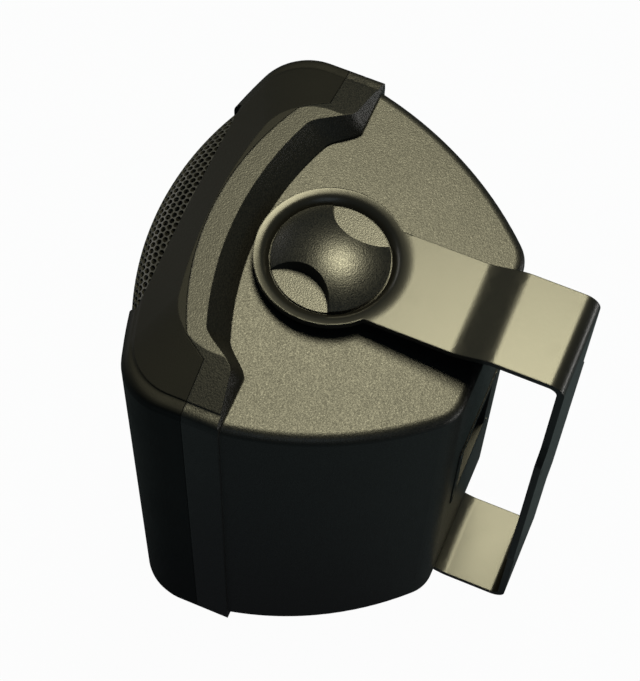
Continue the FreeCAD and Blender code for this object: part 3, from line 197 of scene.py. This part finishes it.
soft_lamp("key_lamp", (-0.34, 0.04, 0.94), 1.6, 0.62, 0.6, 27.0, (1.0, 0.93, 0.6))
soft_lamp("fill_lamp", (0.9, 0.5, 0.6), 2.0, 0.8, 0.8, 1.5, (0.75, 0.9, 1.0))
soft_lamp("front_lamp", (-0.3, -0.95, 0.1), 1.8, 1.0, 1.0, 7.0, (1.0, 0.97, 0.9))
soft_lamp("rear_lamp", (-0.2, 0.95, -0.2), 0.95, 1.0, 0.14, 2.0, (1.0, 0.98, 0.94))

# %% [markdown]
# World. It gives a low, slightly blue fill. Light Path lifts it to white for the camera and for rays
# through glass, and mirrored rays see a little of that lift. A brighter world would light the speaker
# as well, and its black would turn grey.

# %% World
FILL = 0.045
MIRRORED_LIFT = 0.03


def colour(red, green, blue):
    return (red, green, blue, 1.0)


world = bpy.data.worlds.new("studio")
bpy.context.scene.world = world
world.use_nodes = True
sky = world.node_tree
sky.nodes.clear()
seen = ray(sky, "Is Camera Ray")
through = ray(sky, "Is Transmission Ray")
mirrored = ray(sky, "Is Glossy Ray")
strength = FILL + (1 - FILL) * seen + (1 - FILL) * through + MIRRORED_LIFT * mirrored
tint = blend(sky, seen, colour(0.6, 0.88, 1.0), colour(1.0, 1.0, 1.0))
background = make(sky, "ShaderNodeBackground", {}, {"Color": tint, "Strength": strength})
make(sky, "ShaderNodeOutputWorld", {}, {"Surface": background})
bpy.context.scene.view_settings.view_transform = "Standard"
print("world fill:", FILL, "for mirrored rays:", FILL + MIRRORED_LIFT)

# %% [markdown]
# Ground. The photograph's is white. This one is matt and keeps a faint shadow, and Light Path mixes it
# with a white glow for the camera and a little for mirrored rays. It lies a hair under the speaker's
# feet, because two faces in one plane flicker.

# %% Ground
GROUND_HALF = 6.0
GROUND_LIFT = 0.9
GROUND_GLOW = 1.08
GROUND_GAP = 0.2 * MM
ground_mesh = bpy.data.meshes.new("ground")
ground_build = bmesh.new()
bmesh.ops.create_grid(ground_build, x_segments=1, y_segments=1, size=GROUND_HALF)
ground_build.to_mesh(ground_mesh)
ground_build.free()
ground = bpy.data.objects.new("ground", ground_mesh)
ground.location.z = -GROUND_GAP
bpy.context.scene.collection.objects.link(ground)
ground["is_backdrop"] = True
ground_paint = bpy.data.materials.new("ground_paint")
ground_paint.use_nodes = True
tree = ground_paint.node_tree
tree.nodes.clear()
seen = ray(tree, "Is Camera Ray")
through = ray(tree, "Is Transmission Ray")
mirrored = ray(tree, "Is Glossy Ray")
matt = make(tree, "ShaderNodeBsdfDiffuse", {}, {"Color": colour(0.05, 0.08, 0.11)})
glow = make(tree, "ShaderNodeEmission", {}, {"Color": colour(1.0, 1.0, 1.0), "Strength": GROUND_GLOW})
lift = GROUND_LIFT * seen + GROUND_LIFT * through + MIRRORED_LIFT * mirrored
mixed = make(tree, "ShaderNodeMixShader", {}, {0: lift, 1: matt, 2: glow})
make(tree, "ShaderNodeOutputMaterial", {}, {"Surface": mixed})
ground_mesh.materials.append(ground_paint)
print("ground:", ground_mesh.name, "with", len(ground_mesh.polygons), "face")

# %% [markdown]
# Textures. Grain, dust and scratches come from noise and cells, measured in object space, in metres,
# because the pieces are to scale and have no unwrapped coordinates. So each one is given by its real
# size in millimetres, and the same noise fits a knob and a housing.

# %% Noise and cells
MM_PER_METRE = 1000.0


def surface_place(tree):
    """Object coordinates, in metres."""
    return make(tree, "ShaderNodeTexCoord", {}, {}, "Object")


def noise(tree, size_mm, detail=2.0, roughness=0.5):
    """Soft noise between 0 and 1 with blobs of about the given size."""
    values = {
        "Vector": surface_place(tree),
        "Scale": MM_PER_METRE / size_mm,
        "Detail": detail,
        "Roughness": roughness,
    }
    return make(tree, "ShaderNodeTexNoise", {}, values)


def cells(tree, size_mm):
    """Pits between 0 and 1, each of about the given size."""
    values = {"Vector": surface_place(tree), "Scale": MM_PER_METRE / size_mm}
    return make(tree, "ShaderNodeTexVoronoi", {"feature": "F1"}, values)


print("scale of a 1 mm grain:", MM_PER_METRE)

# %% [markdown]
# A finish. Each one is a Principled shader with a colour, a roughness and a bump that all vary over
# the surface, at the scale of the real texture. A Bevel node rounds the look of sharp moulded edges,
# where real plastic and painted steel catch a thin line of light.

# %% Finish builder
finishes = {}


class Finish:
    """A Principled material under construction, kept in the list of finishes."""

    def __init__(self, name, **constants):
        self.material = bpy.data.materials.new(name)
        finishes[name] = self.material
        self.material.use_nodes = True
        self.tree = self.material.node_tree
        self.tree.nodes.clear()
        self.shader = self.tree.nodes.new("ShaderNodeBsdfPrincipled")
        for socket, value in constants.items():
            self.shader.inputs[socket.replace("_", " ")].default_value = value
        make(self.tree, "ShaderNodeOutputMaterial", {}, {"Surface": Tap(self.tree, self.shader.outputs[0])})

    def feed(self, socket, value):
        self.tree.links.new(value.socket, self.shader.inputs[socket])

    def relief(self, height, depth_mm, edge_mm=0.0):
        """Bump of the given depth, on edges that look rounded by edge_mm."""
        values = {"Height": height, "Distance": depth_mm * MM, "Strength": 1.0}
        if edge_mm:
            values["Normal"] = make(self.tree, "ShaderNodeBevel", {"samples": 4}, {"Radius": edge_mm * MM})
        self.feed("Normal", make(self.tree, "ShaderNodeBump", {}, values))


def wear(name, *nodes):
    """Gives a finish to solids of the frame."""
    for node in nodes:
        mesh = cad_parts[node].data
        mesh.materials.clear()
        mesh.materials.append(finishes[name])


print("plain materials of the solids:", len(bpy.data.materials))

# %% [markdown]
# Housing plastic. The moulds of such housings are spark-eroded, which leaves a fine even grain. It
# breaks the lamp's reflection into small bright and dark specks. Noise and cells make the grain's
# relief here, and the same noise varies the roughness, which gives the specks. The knob's grain is a
# little finer.

# %% Spark-eroded plastic
def spark_plastic(name, base_roughness, grain_mm, depth_mm, edge_mm, ior):
    finish = Finish(name, IOR=ior)
    tree = finish.tree
    grain = noise(tree, grain_mm, 3.0, 0.6)
    pits = cells(tree, grain_mm * 1.1)
    cloud = noise(tree, 40.0, 2.0)
    dark = colour(0.004, 0.004, 0.0038)
    light = colour(0.011, 0.0105, 0.009)
    finish.feed("Base Color", blend(tree, grain.above(0.5, 0.3) * 0.7 + 0.2 * cloud, dark, light))
    finish.feed("Roughness", base_roughness + 0.5 * (grain - 0.5) + 0.06 * (cloud - 0.5))
    finish.relief(grain * 0.6 + pits * 0.6, depth_mm, edge_mm)


spark_plastic("housing_plastic", 0.425, grain_mm=0.7, depth_mm=0.078, edge_mm=0.7, ior=1.535)
spark_plastic("knob_plastic", 0.34, grain_mm=0.64, depth_mm=0.075, edge_mm=0.3, ior=1.6)
wear("housing_plastic", "cabinet")
wear("knob_plastic", "knob_top", "knob_bottom")
print("grained finishes:", list(finishes))

# %% [markdown]
# Front frame. It is black plastic with a finer satin grain, so it looks smoother and darker than the
# housing. The plastic, rubber and foam pieces behind it take the same builder with other values, since
# they differ in colour and gloss but not in kind.

# %% Satin plastic
def satin_plastic(name, base, base_roughness, grain_mm=0.4, depth_mm=0.012, edge_mm=0.6, ior=1.45):
    finish = Finish(name, IOR=ior)
    tree = finish.tree
    grain = noise(tree, grain_mm, 3.0)
    cloud = noise(tree, 25.0, 3.0)
    low = colour(*(0.75 * part for part in base))
    high = colour(*(1.25 * part for part in base))
    finish.feed("Base Color", blend(tree, 0.6 * grain + 0.4 * cloud, low, high))
    finish.feed("Roughness", base_roughness + 0.12 * (grain - 0.5) + 0.1 * (cloud - 0.5))
    finish.relief(grain, depth_mm, edge_mm)


FRAME_BLACK = (0.0065, 0.0065, 0.006)
satin_plastic("frame_plastic", FRAME_BLACK, 0.56, grain_mm=0.5, depth_mm=0.05, edge_mm=0.7, ior=1.29)
satin_plastic("driver_plastic", (0.02, 0.02, 0.02), 0.45)
satin_plastic("cap_black", (0.02, 0.02, 0.02), 0.3, grain_mm=0.3, depth_mm=0.006)
satin_plastic("cap_red", (0.45, 0.012, 0.01), 0.3, grain_mm=0.3, depth_mm=0.006)
satin_plastic("capacitor_sleeve", (0.02, 0.05, 0.16), 0.28, grain_mm=0.5, depth_mm=0.01)
satin_plastic("ceramic", (0.72, 0.71, 0.66), 0.6, grain_mm=0.5, depth_mm=0.02)
satin_plastic("rubber", (0.018, 0.018, 0.018), 0.55, grain_mm=0.5, depth_mm=0.02)
satin_plastic("foam", (0.03, 0.03, 0.03), 0.9, grain_mm=0.9, depth_mm=0.2)
satin_plastic("board", (0.33, 0.24, 0.10), 0.5, grain_mm=0.5, depth_mm=0.01)
wear("frame_plastic", "front_frame")
wear("driver_plastic", "tweeter_faceplate")
wear("cap_black", "post_cap_left")
wear("cap_red", "post_cap_right")
wear("capacitor_sleeve", "crossover_capacitor")
wear("ceramic", "crossover_resistor")
wear("rubber", "woofer_surround", "pivot_washer_top", "pivot_washer_bottom")
wear("foam", "woofer_gasket")
wear("board", "crossover_board")
print("finishes so far:", len(finishes))

# %% [markdown]
# Bracket. Powder coat on sheet steel is satin, with a shallow orange peel a few millimetres across
# and faint handling marks. It is smoother than the plastic, so its flats mirror the lamp as a clear
# warm grey and its bends go dark.

# %% Powder coat
def coated_steel(name, base, base_roughness, peel_mm, depth_mm, edge_mm):
    finish = Finish(name, IOR=1.52)
    tree = finish.tree
    peel = noise(tree, peel_mm, 1.0)
    dust = noise(tree, 0.5, 3.0)
    marks = noise(tree, 12.0, 6.0, 0.7).above(0.62, 0.12)
    low = colour(*(0.8 * part for part in base))
    high = colour(*(1.3 * part for part in base))
    finish.feed("Base Color", blend(tree, 0.7 * dust + 0.3 * marks, low, high))
    finish.feed("Roughness", base_roughness + 0.06 * (dust - 0.5) + 0.015 * marks)
    finish.relief(peel + 0.12 * dust, depth_mm, edge_mm)


coated_steel("bracket_coat", (0.012, 0.0117, 0.0105), 0.3, peel_mm=2.2, depth_mm=0.014, edge_mm=0.8)
coated_steel("grille_coat", (0.03, 0.03, 0.027), 0.42, peel_mm=1.5, depth_mm=0.004, edge_mm=0.0)
coated_steel("basket_coat", (0.03, 0.03, 0.03), 0.4, peel_mm=1.5, depth_mm=0.01, edge_mm=0.3)
wear("basket_coat", "woofer_basket")
print("coats:", [name for name in finishes if name.endswith("coat")])

# %% [markdown]
# Metals. Screws, posts, inserts and magnets are bare or plated. A metal's colour is its reflection, so
# the base colour is bright, and fine scratches and soft tarnish vary it and its roughness.

# %% Bare metals
def bare_metal(name, base, base_roughness, scratch_mm=0.4):
    finish = Finish(name, Metallic=1.0)
    tree = finish.tree
    grain = noise(tree, scratch_mm, 4.0, 0.6)
    tarnish = noise(tree, 6.0, 3.0)
    low = colour(*(0.8 * part for part in base))
    finish.feed("Base Color", blend(tree, 0.5 * grain + 0.5 * tarnish, low, colour(*base)))
    finish.feed("Roughness", base_roughness + 0.15 * (grain - 0.5) + 0.1 * (tarnish - 0.5))
    finish.relief(grain, 0.006, 0.2)


bare_metal("motor_steel", (0.6, 0.6, 0.56), 0.35)
bare_metal("ferrite", (0.07, 0.07, 0.075), 0.6)
bare_metal("screw_steel", (0.09, 0.09, 0.09), 0.35)
bare_metal("post_brass", (0.78, 0.58, 0.26), 0.25)
bare_metal("former_foil", (0.8, 0.8, 0.8), 0.25)
wear("motor_steel", "woofer_top_plate", "woofer_yoke")
wear("ferrite", "woofer_magnet", "tweeter_magnet")
wear("screw_steel", "frame_screws", "woofer_screws", "tweeter_screws", "board_screws")
wear("screw_steel", "knob_bolt_top", "knob_bolt_bottom")
wear("post_brass", "post_left", "post_right", "pivot_insert_top", "pivot_insert_bottom")
wear("former_foil", "coil_former")
print("finishes so far:", len(finishes))

# %% [markdown]
# Cones, cloth and windings. The cone is pressed pulp with short fibres, the spider and the dome are
# woven cloth with a coating, the wadding is loose fibre, and the coils are lacquered copper wire in
# close turns. Rough noise gives fibres. A Wave texture gives turns and weave; it draws 3.18 bands in
# each unit of its scale.

# %% Fibre, cloth and wire
def fibrous(name, base, base_roughness, size_mm, depth_mm):
    finish = Finish(name)
    tree = finish.tree
    strands = noise(tree, size_mm, 5.0, 0.75)
    cloud = noise(tree, 8 * size_mm, 3.0)
    low = colour(*(0.55 * part for part in base))
    finish.feed("Base Color", blend(tree, 0.6 * strands + 0.4 * cloud, low, colour(*base)))
    finish.feed("Roughness", base_roughness + 0.15 * (strands - 0.5))
    finish.relief(strands, depth_mm)


BANDS_PER_UNIT = 3.18


def ribbed(name, base, base_roughness, pitch_mm, depth_mm, direction, metallic=0.0):
    """Fine parallel ridges: turns of wire or threads of cloth."""
    finish = Finish(name, Metallic=metallic)
    tree = finish.tree
    scale = MM_PER_METRE / pitch_mm / BANDS_PER_UNIT
    values = {"Vector": surface_place(tree), "Scale": scale, "Distortion": 0.4}
    ridges = make(tree, "ShaderNodeTexWave", {"bands_direction": direction}, values, 1)
    cloud = noise(tree, 4.0, 3.0)
    low = colour(*(0.6 * part for part in base))
    finish.feed("Base Color", blend(tree, 0.6 * ridges + 0.4 * cloud, low, colour(*base)))
    finish.feed("Roughness", base_roughness + 0.1 * (cloud - 0.5))
    finish.relief(ridges, depth_mm)


fibrous("cone_pulp", (0.045, 0.043, 0.04), 0.75, size_mm=1.2, depth_mm=0.08)
fibrous("wadding", (0.78, 0.76, 0.7), 0.95, size_mm=2.5, depth_mm=0.8)
ribbed("spider_cloth", (0.55, 0.38, 0.14), 0.8, pitch_mm=0.8, depth_mm=0.06, direction="X")
ribbed("dome_silk", (0.03, 0.03, 0.032), 0.5, pitch_mm=0.4, depth_mm=0.02, direction="X")
ribbed("copper_wire", (0.72, 0.32, 0.16), 0.3, pitch_mm=0.7, depth_mm=0.15, direction="Y", metallic=0.8)
wear("cone_pulp", "woofer_cone", "dust_cap")
wear("wadding", "damping_pad")
wear("spider_cloth", "woofer_spider")
wear("dome_silk", "tweeter_dome")
wear("copper_wire", "voice_coil", "crossover_coil")
print("finishes:", len(finishes))

# %% [markdown]
# Grille. The real sheet is punched with round holes in staggered rows, about 2.8 mm across and
# 3.3 mm apart, and bent to the bow of the front. A boolean with thousands of cutters would be slow,
# and an image of holes would look flat from the side. So the mesh is built from six-sided cells,
# each with a round hole. The first step says where a point of the flat sheet lies once it is bent:
# the middle is a plain bow, and both ends turn in over a round and a slope.

# %% Bow of the front
grille_low, grille_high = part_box("grille")
BOW_CENTRE_Y = 59.4 * MM + SWIVEL_Y
BOW_RADIUS = BOW_CENTRE_Y - grille_low[1]
ROUND_RADIUS = 14.0 * MM
ROUND_SWEEP = math.radians(67.0)
SLOPE_RUN = 24.8 * MM
GRILLE_DROP = 1.2 * MM
middle_z = (grille_low[2] + grille_high[2]) / 2
round_run = ROUND_RADIUS * (1 - math.cos(ROUND_SWEEP))
slope_rise = (SLOPE_RUN - round_run) * math.tan(math.pi / 2 - ROUND_SWEEP)
straight_half = MIDDLE_Z - GRILLE_DROP - ROUND_RADIUS * math.sin(ROUND_SWEEP) - slope_rise


def wrap(across, along):
    """Place on the bowed sheet of a point of the flat one, measured from its middle."""
    side = math.copysign(1.0, along)
    past = max(0.0, abs(along) - straight_half)
    turn = min(past / ROUND_RADIUS, ROUND_SWEEP)
    rest = past - ROUND_RADIUS * turn
    run = ROUND_RADIUS * (1 - math.cos(turn)) + rest * math.sin(turn)
    height = min(abs(along), straight_half) + ROUND_RADIUS * math.sin(turn) + rest * math.cos(turn)
    bow = BOW_RADIUS - run
    return Vector((across, BOW_CENTRE_Y - math.sqrt(bow**2 - across**2), middle_z + side * height))


print("straight part of the grille:", round(2 * straight_half / MM, 1), "mm")

# %% [markdown]
# Each cell is a ring of four-sided faces between its hole and its six-sided rim. The rims share their
# points with the cells beside them, so the sheet is one mesh.

# %% Cells with holes
HOLE_PITCH = 3.3 * MM
HOLE_RADIUS = 1.38 * MM
HOLE_SIDES = 12


def perforated_sheet(half_width, half_length):
    """Cells with round holes, wrapped on the front, as a bmesh, and the number of holes."""
    build = bmesh.new()
    shared = {}

    def corner(across, along):
        key = (round(across / MM, 3), round(along / MM, 3))
        if key not in shared:
            shared[key] = build.verts.new(wrap(across, along))
        return shared[key]

    row_pitch = HOLE_PITCH * math.sqrt(3) / 2
    outer = HOLE_PITCH / math.sqrt(3)
    rows = int(half_length / row_pitch)
    columns = int(half_width / HOLE_PITCH) + 1
    step = 2 * math.pi / HOLE_SIDES
    count = 0
    for row in range(-rows, rows + 1):
        for column in range(-columns, columns + 1):
            across = (column + 0.5 * (row % 2)) * HOLE_PITCH
            along = row * row_pitch
            rim = []
            hole = []
            for number in range(HOLE_SIDES):
                angle = math.pi / 2 + number * step
                reach = outer if number % 2 == 0 else outer * math.cos(math.pi / 6)
                rim.append(corner(across + reach * math.cos(angle), along + reach * math.sin(angle)))
                hole.append(build.verts.new(wrap(
                    across + HOLE_RADIUS * math.cos(angle), along + HOLE_RADIUS * math.sin(angle))))
            for number in range(HOLE_SIDES):
                after = (number + 1) % HOLE_SIDES
                build.faces.new((rim[number], rim[after], hole[after], hole[number]))
            count += 1
    return build, count


print("hole diameter:", round(2 * HOLE_RADIUS / MM, 2), "mm")

# %% [markdown]
# The flat cells reach a little past the frame's window on all sides. Cutting the bent sheet with three
# planes leaves a clean edge, as a shear does, and a Solidify modifier then gives it its thickness.

# %% Trimmed sheet
GRILLE_SHEET = 1.0 * MM
TRIM_MARGIN = 2.0 * MM
PAST_STRAIGHT = 26.0 * MM
half_width = grille_high[0]
build, hole_count = perforated_sheet(half_width + TRIM_MARGIN, straight_half + PAST_STRAIGHT)
for place, outward in (
    ((half_width, 0, 0), (1, 0, 0)),
    ((-half_width, 0, 0), (-1, 0, 0)),
    ((0, grille_high[1], 0), (0, 1, 0)),
):
    parts = build.verts[:] + build.edges[:] + build.faces[:]
    bmesh.ops.bisect_plane(build, geom=parts, plane_co=place, plane_no=outward, clear_outer=True)
bmesh.ops.recalc_face_normals(build, faces=build.faces)
middle_face = min(build.faces, key=lambda face: face.calc_center_median()[1])
if middle_face.normal.y > 0:
    bmesh.ops.reverse_faces(build, faces=build.faces)
sheet_mesh = bpy.data.meshes.new("perforated_grille")
build.to_mesh(sheet_mesh)
build.free()
sheet_mesh.materials.append(finishes["grille_coat"])
sheet_mesh.shade_smooth()
perforated_grille = bpy.data.objects.new("perforated_grille", sheet_mesh)
bpy.context.scene.collection.objects.link(perforated_grille)
thickness = perforated_grille.modifiers.new("thickness", "SOLIDIFY")
thickness.thickness = GRILLE_SHEET
thickness.offset = -1.0
creases = perforated_grille.modifiers.new("creases", "EDGE_SPLIT")
creases.split_angle = math.radians(40)
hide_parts("grille")
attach(perforated_grille, "housing")
print("grille holes:", hole_count, "faces:", len(sheet_mesh.polygons))

# %% [markdown]
# Bracket. The solid's ring has one plain roll. On the real one the lip is almost flat at its rim,
# where it catches the lamp, and then drops steeply beside the knob. The solids stay as they are, so
# the lip's own curve goes into a copy of the sheet. Copies also get edges that are really rounded,
# since a Bevel node only changes how light meets them.

# %% Copies of solids
def copy_of(node, name, coat, body):
    """A new piece that starts with the shape of a solid and stands for it, with its mesh to edit."""
    build = bmesh.new()
    build.from_mesh(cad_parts[node].data)
    bmesh.ops.remove_doubles(build, verts=build.verts, dist=0.001 * MM)
    mesh = bpy.data.meshes.new(name)
    mesh.materials.append(finishes[coat])
    piece = bpy.data.objects.new(name, mesh)
    bpy.context.scene.collection.objects.link(piece)
    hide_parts(node)
    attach(piece, body)
    return piece, build


def close_copy(piece, build, edge_mm):
    """Writes the edited mesh with rounded edges; weighted normals keep its flats flat."""
    for face in build.faces:
        face.material_index = 0
    build.to_mesh(piece.data)
    build.free()
    piece.data.shade_smooth()
    rounding = piece.modifiers.new("rounded_edges", "BEVEL")
    rounding.width = edge_mm * MM
    rounding.segments = 2
    rounding.limit_method = "ANGLE"
    rounding.angle_limit = math.radians(50)
    flats = piece.modifiers.new("flat_normals", "WEIGHTED_NORMAL")
    flats.weight = 100
    print(piece.name, "has", len(piece.data.polygons), "faces")


bracket_sheet, build = copy_of("u_bracket", "bracket_sheet", "bracket_coat", "bracket")
print("bracket points:", len(build.verts))

# %% [markdown]
# The lip's curve gives the fall below the ring's rim at each distance from the swivel axis. The same
# points need the fall that the solid has there, to tell how far each lies through the sheet. The
# sheet then keeps its thickness, because both of its faces follow that curve.

# %% The lip's curve
RING_DROP = 5.0 * MM
DISH_DEPTH = 5.0 * MM
BRACKET_SHEET = 3.5 * MM
SOLID_FLAT_RADIUS = 38.5 * MM
SOLID_ROLL = 13.9 * MM
LIP_START = 38.2 * MM
LIP_SHIFT = 1.8 * MM
LIP_CURVE = 0.0215
STEEP_START = 6.2
STEEP_CURVE = 0.15
FACE_SHARE = 0.12


def solid_fall(radius, roll):
    """Fall of the solid's plain roll at a radius."""
    run = min(max(0.0, SOLID_FLAT_RADIUS - radius), roll)
    return min(DISH_DEPTH, roll - math.sqrt(roll**2 - run**2))


def lip_fall(radius):
    """Fall of the real lip: a gentle parabola, and a steep one on top of it further in."""
    run = max(0.0, LIP_START - radius) / MM
    steep = max(0.0, run - STEEP_START)
    return min(DISH_DEPTH, (LIP_CURVE * run**2 + STEEP_CURVE * steep**2) * MM)


def new_depth(radius, depth):
    """Depth under the speaker's end of a point of the sheet, given its depth in the solid."""
    outer = RING_DROP + solid_fall(radius, SOLID_ROLL)
    inner = RING_DROP + BRACKET_SHEET + solid_fall(radius, SOLID_ROLL - BRACKET_SHEET)
    share = min(max((depth - outer) / (inner - outer), 0.0), 1.0)
    if share < FACE_SHARE:
        share = 0.0
    elif share > 1 - FACE_SHARE:
        share = 1.0
    outer = RING_DROP + lip_fall(radius)
    inner = RING_DROP + BRACKET_SHEET + lip_fall(radius - LIP_SHIFT)
    return outer + share * (inner - outer)


for reach in (38, 34, 30):
    print("fall at", reach, "mm:", round(lip_fall(reach * MM) / MM, 2), "mm")

# %% [markdown]
# The solid's mesh has few points across its roll. Finer cuts around both knobs give the new curve
# enough of them, and each point in the zone then moves to its new depth.

# %% Rolled lip
RING_ZONE = (26.5 * MM, 39.6 * MM)
LIP_DEPTH = 16.0 * MM


def in_ring(point):
    radius = math.hypot(point.x, point.y - SWIVEL_Y)
    return RING_ZONE[0] < radius < RING_ZONE[1]


ring_edges = [edge for edge in build.edges if all(in_ring(vert.co) for vert in edge.verts)]
bmesh.ops.subdivide_edges(build, edges=ring_edges, cuts=2, use_grid_fill=True)
moved = 0
for vert in build.verts:
    end = 1.0 if vert.co.z > MIDDLE_Z else -1.0
    depth = MIDDLE_Z - end * (vert.co.z - MIDDLE_Z)
    radius = math.hypot(vert.co.x, vert.co.y - SWIVEL_Y)
    if RING_ZONE[0] < radius < SOLID_FLAT_RADIUS and depth < LIP_DEPTH:
        vert.co.z = MIDDLE_Z + end * (MIDDLE_Z - new_depth(radius, depth))
        moved += 1
print("lip points:", moved)
close_copy(bracket_sheet, build, 0.55)

# %% [markdown]
# Terminal cup. Its plate lies nearly flush in the rear wall, and its screws are sunk in it. The
# solids keep the plate and heads proud, which is simpler to make, so these copies press them flatter.

# %% Flush terminal plate
REAR_WALL_Y = 80.5 * MM + SWIVEL_Y
PLATE_STAND = 0.6 * MM
HEAD_FOOT = 2.0 * MM
HEAD_STAND = 0.3 * MM
HEAD_SHARE = 0.5
SLACK = 0.1 * MM
cup_piece, build = copy_of("terminal_cup", "terminal_plate", "driver_plastic", "housing")
for vert in build.verts:
    vert.co.y = min(vert.co.y, REAR_WALL_Y + PLATE_STAND)
close_copy(cup_piece, build, 0.2)
screw_piece, build = copy_of("terminal_screws", "sunk_screws", "screw_steel", "housing")
for vert in build.verts:
    over = vert.co.y - REAR_WALL_Y - HEAD_FOOT
    if over > -SLACK:
        vert.co.y = REAR_WALL_Y + HEAD_STAND + max(0.0, over) * HEAD_SHARE
    else:
        vert.co.y = min(vert.co.y, REAR_WALL_Y)
close_copy(screw_piece, build, 0.1)

# %% [markdown]
# The last step keeps both boxes, so that the dressed speaker can be compared with the solids.

# %% Sizes and finish
dressed_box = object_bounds()
for name, box in (("solids", solid_box), ("dressed", dressed_box)):
    print(name, "box:", [[round(value, 4) for value in corner] for corner in box])
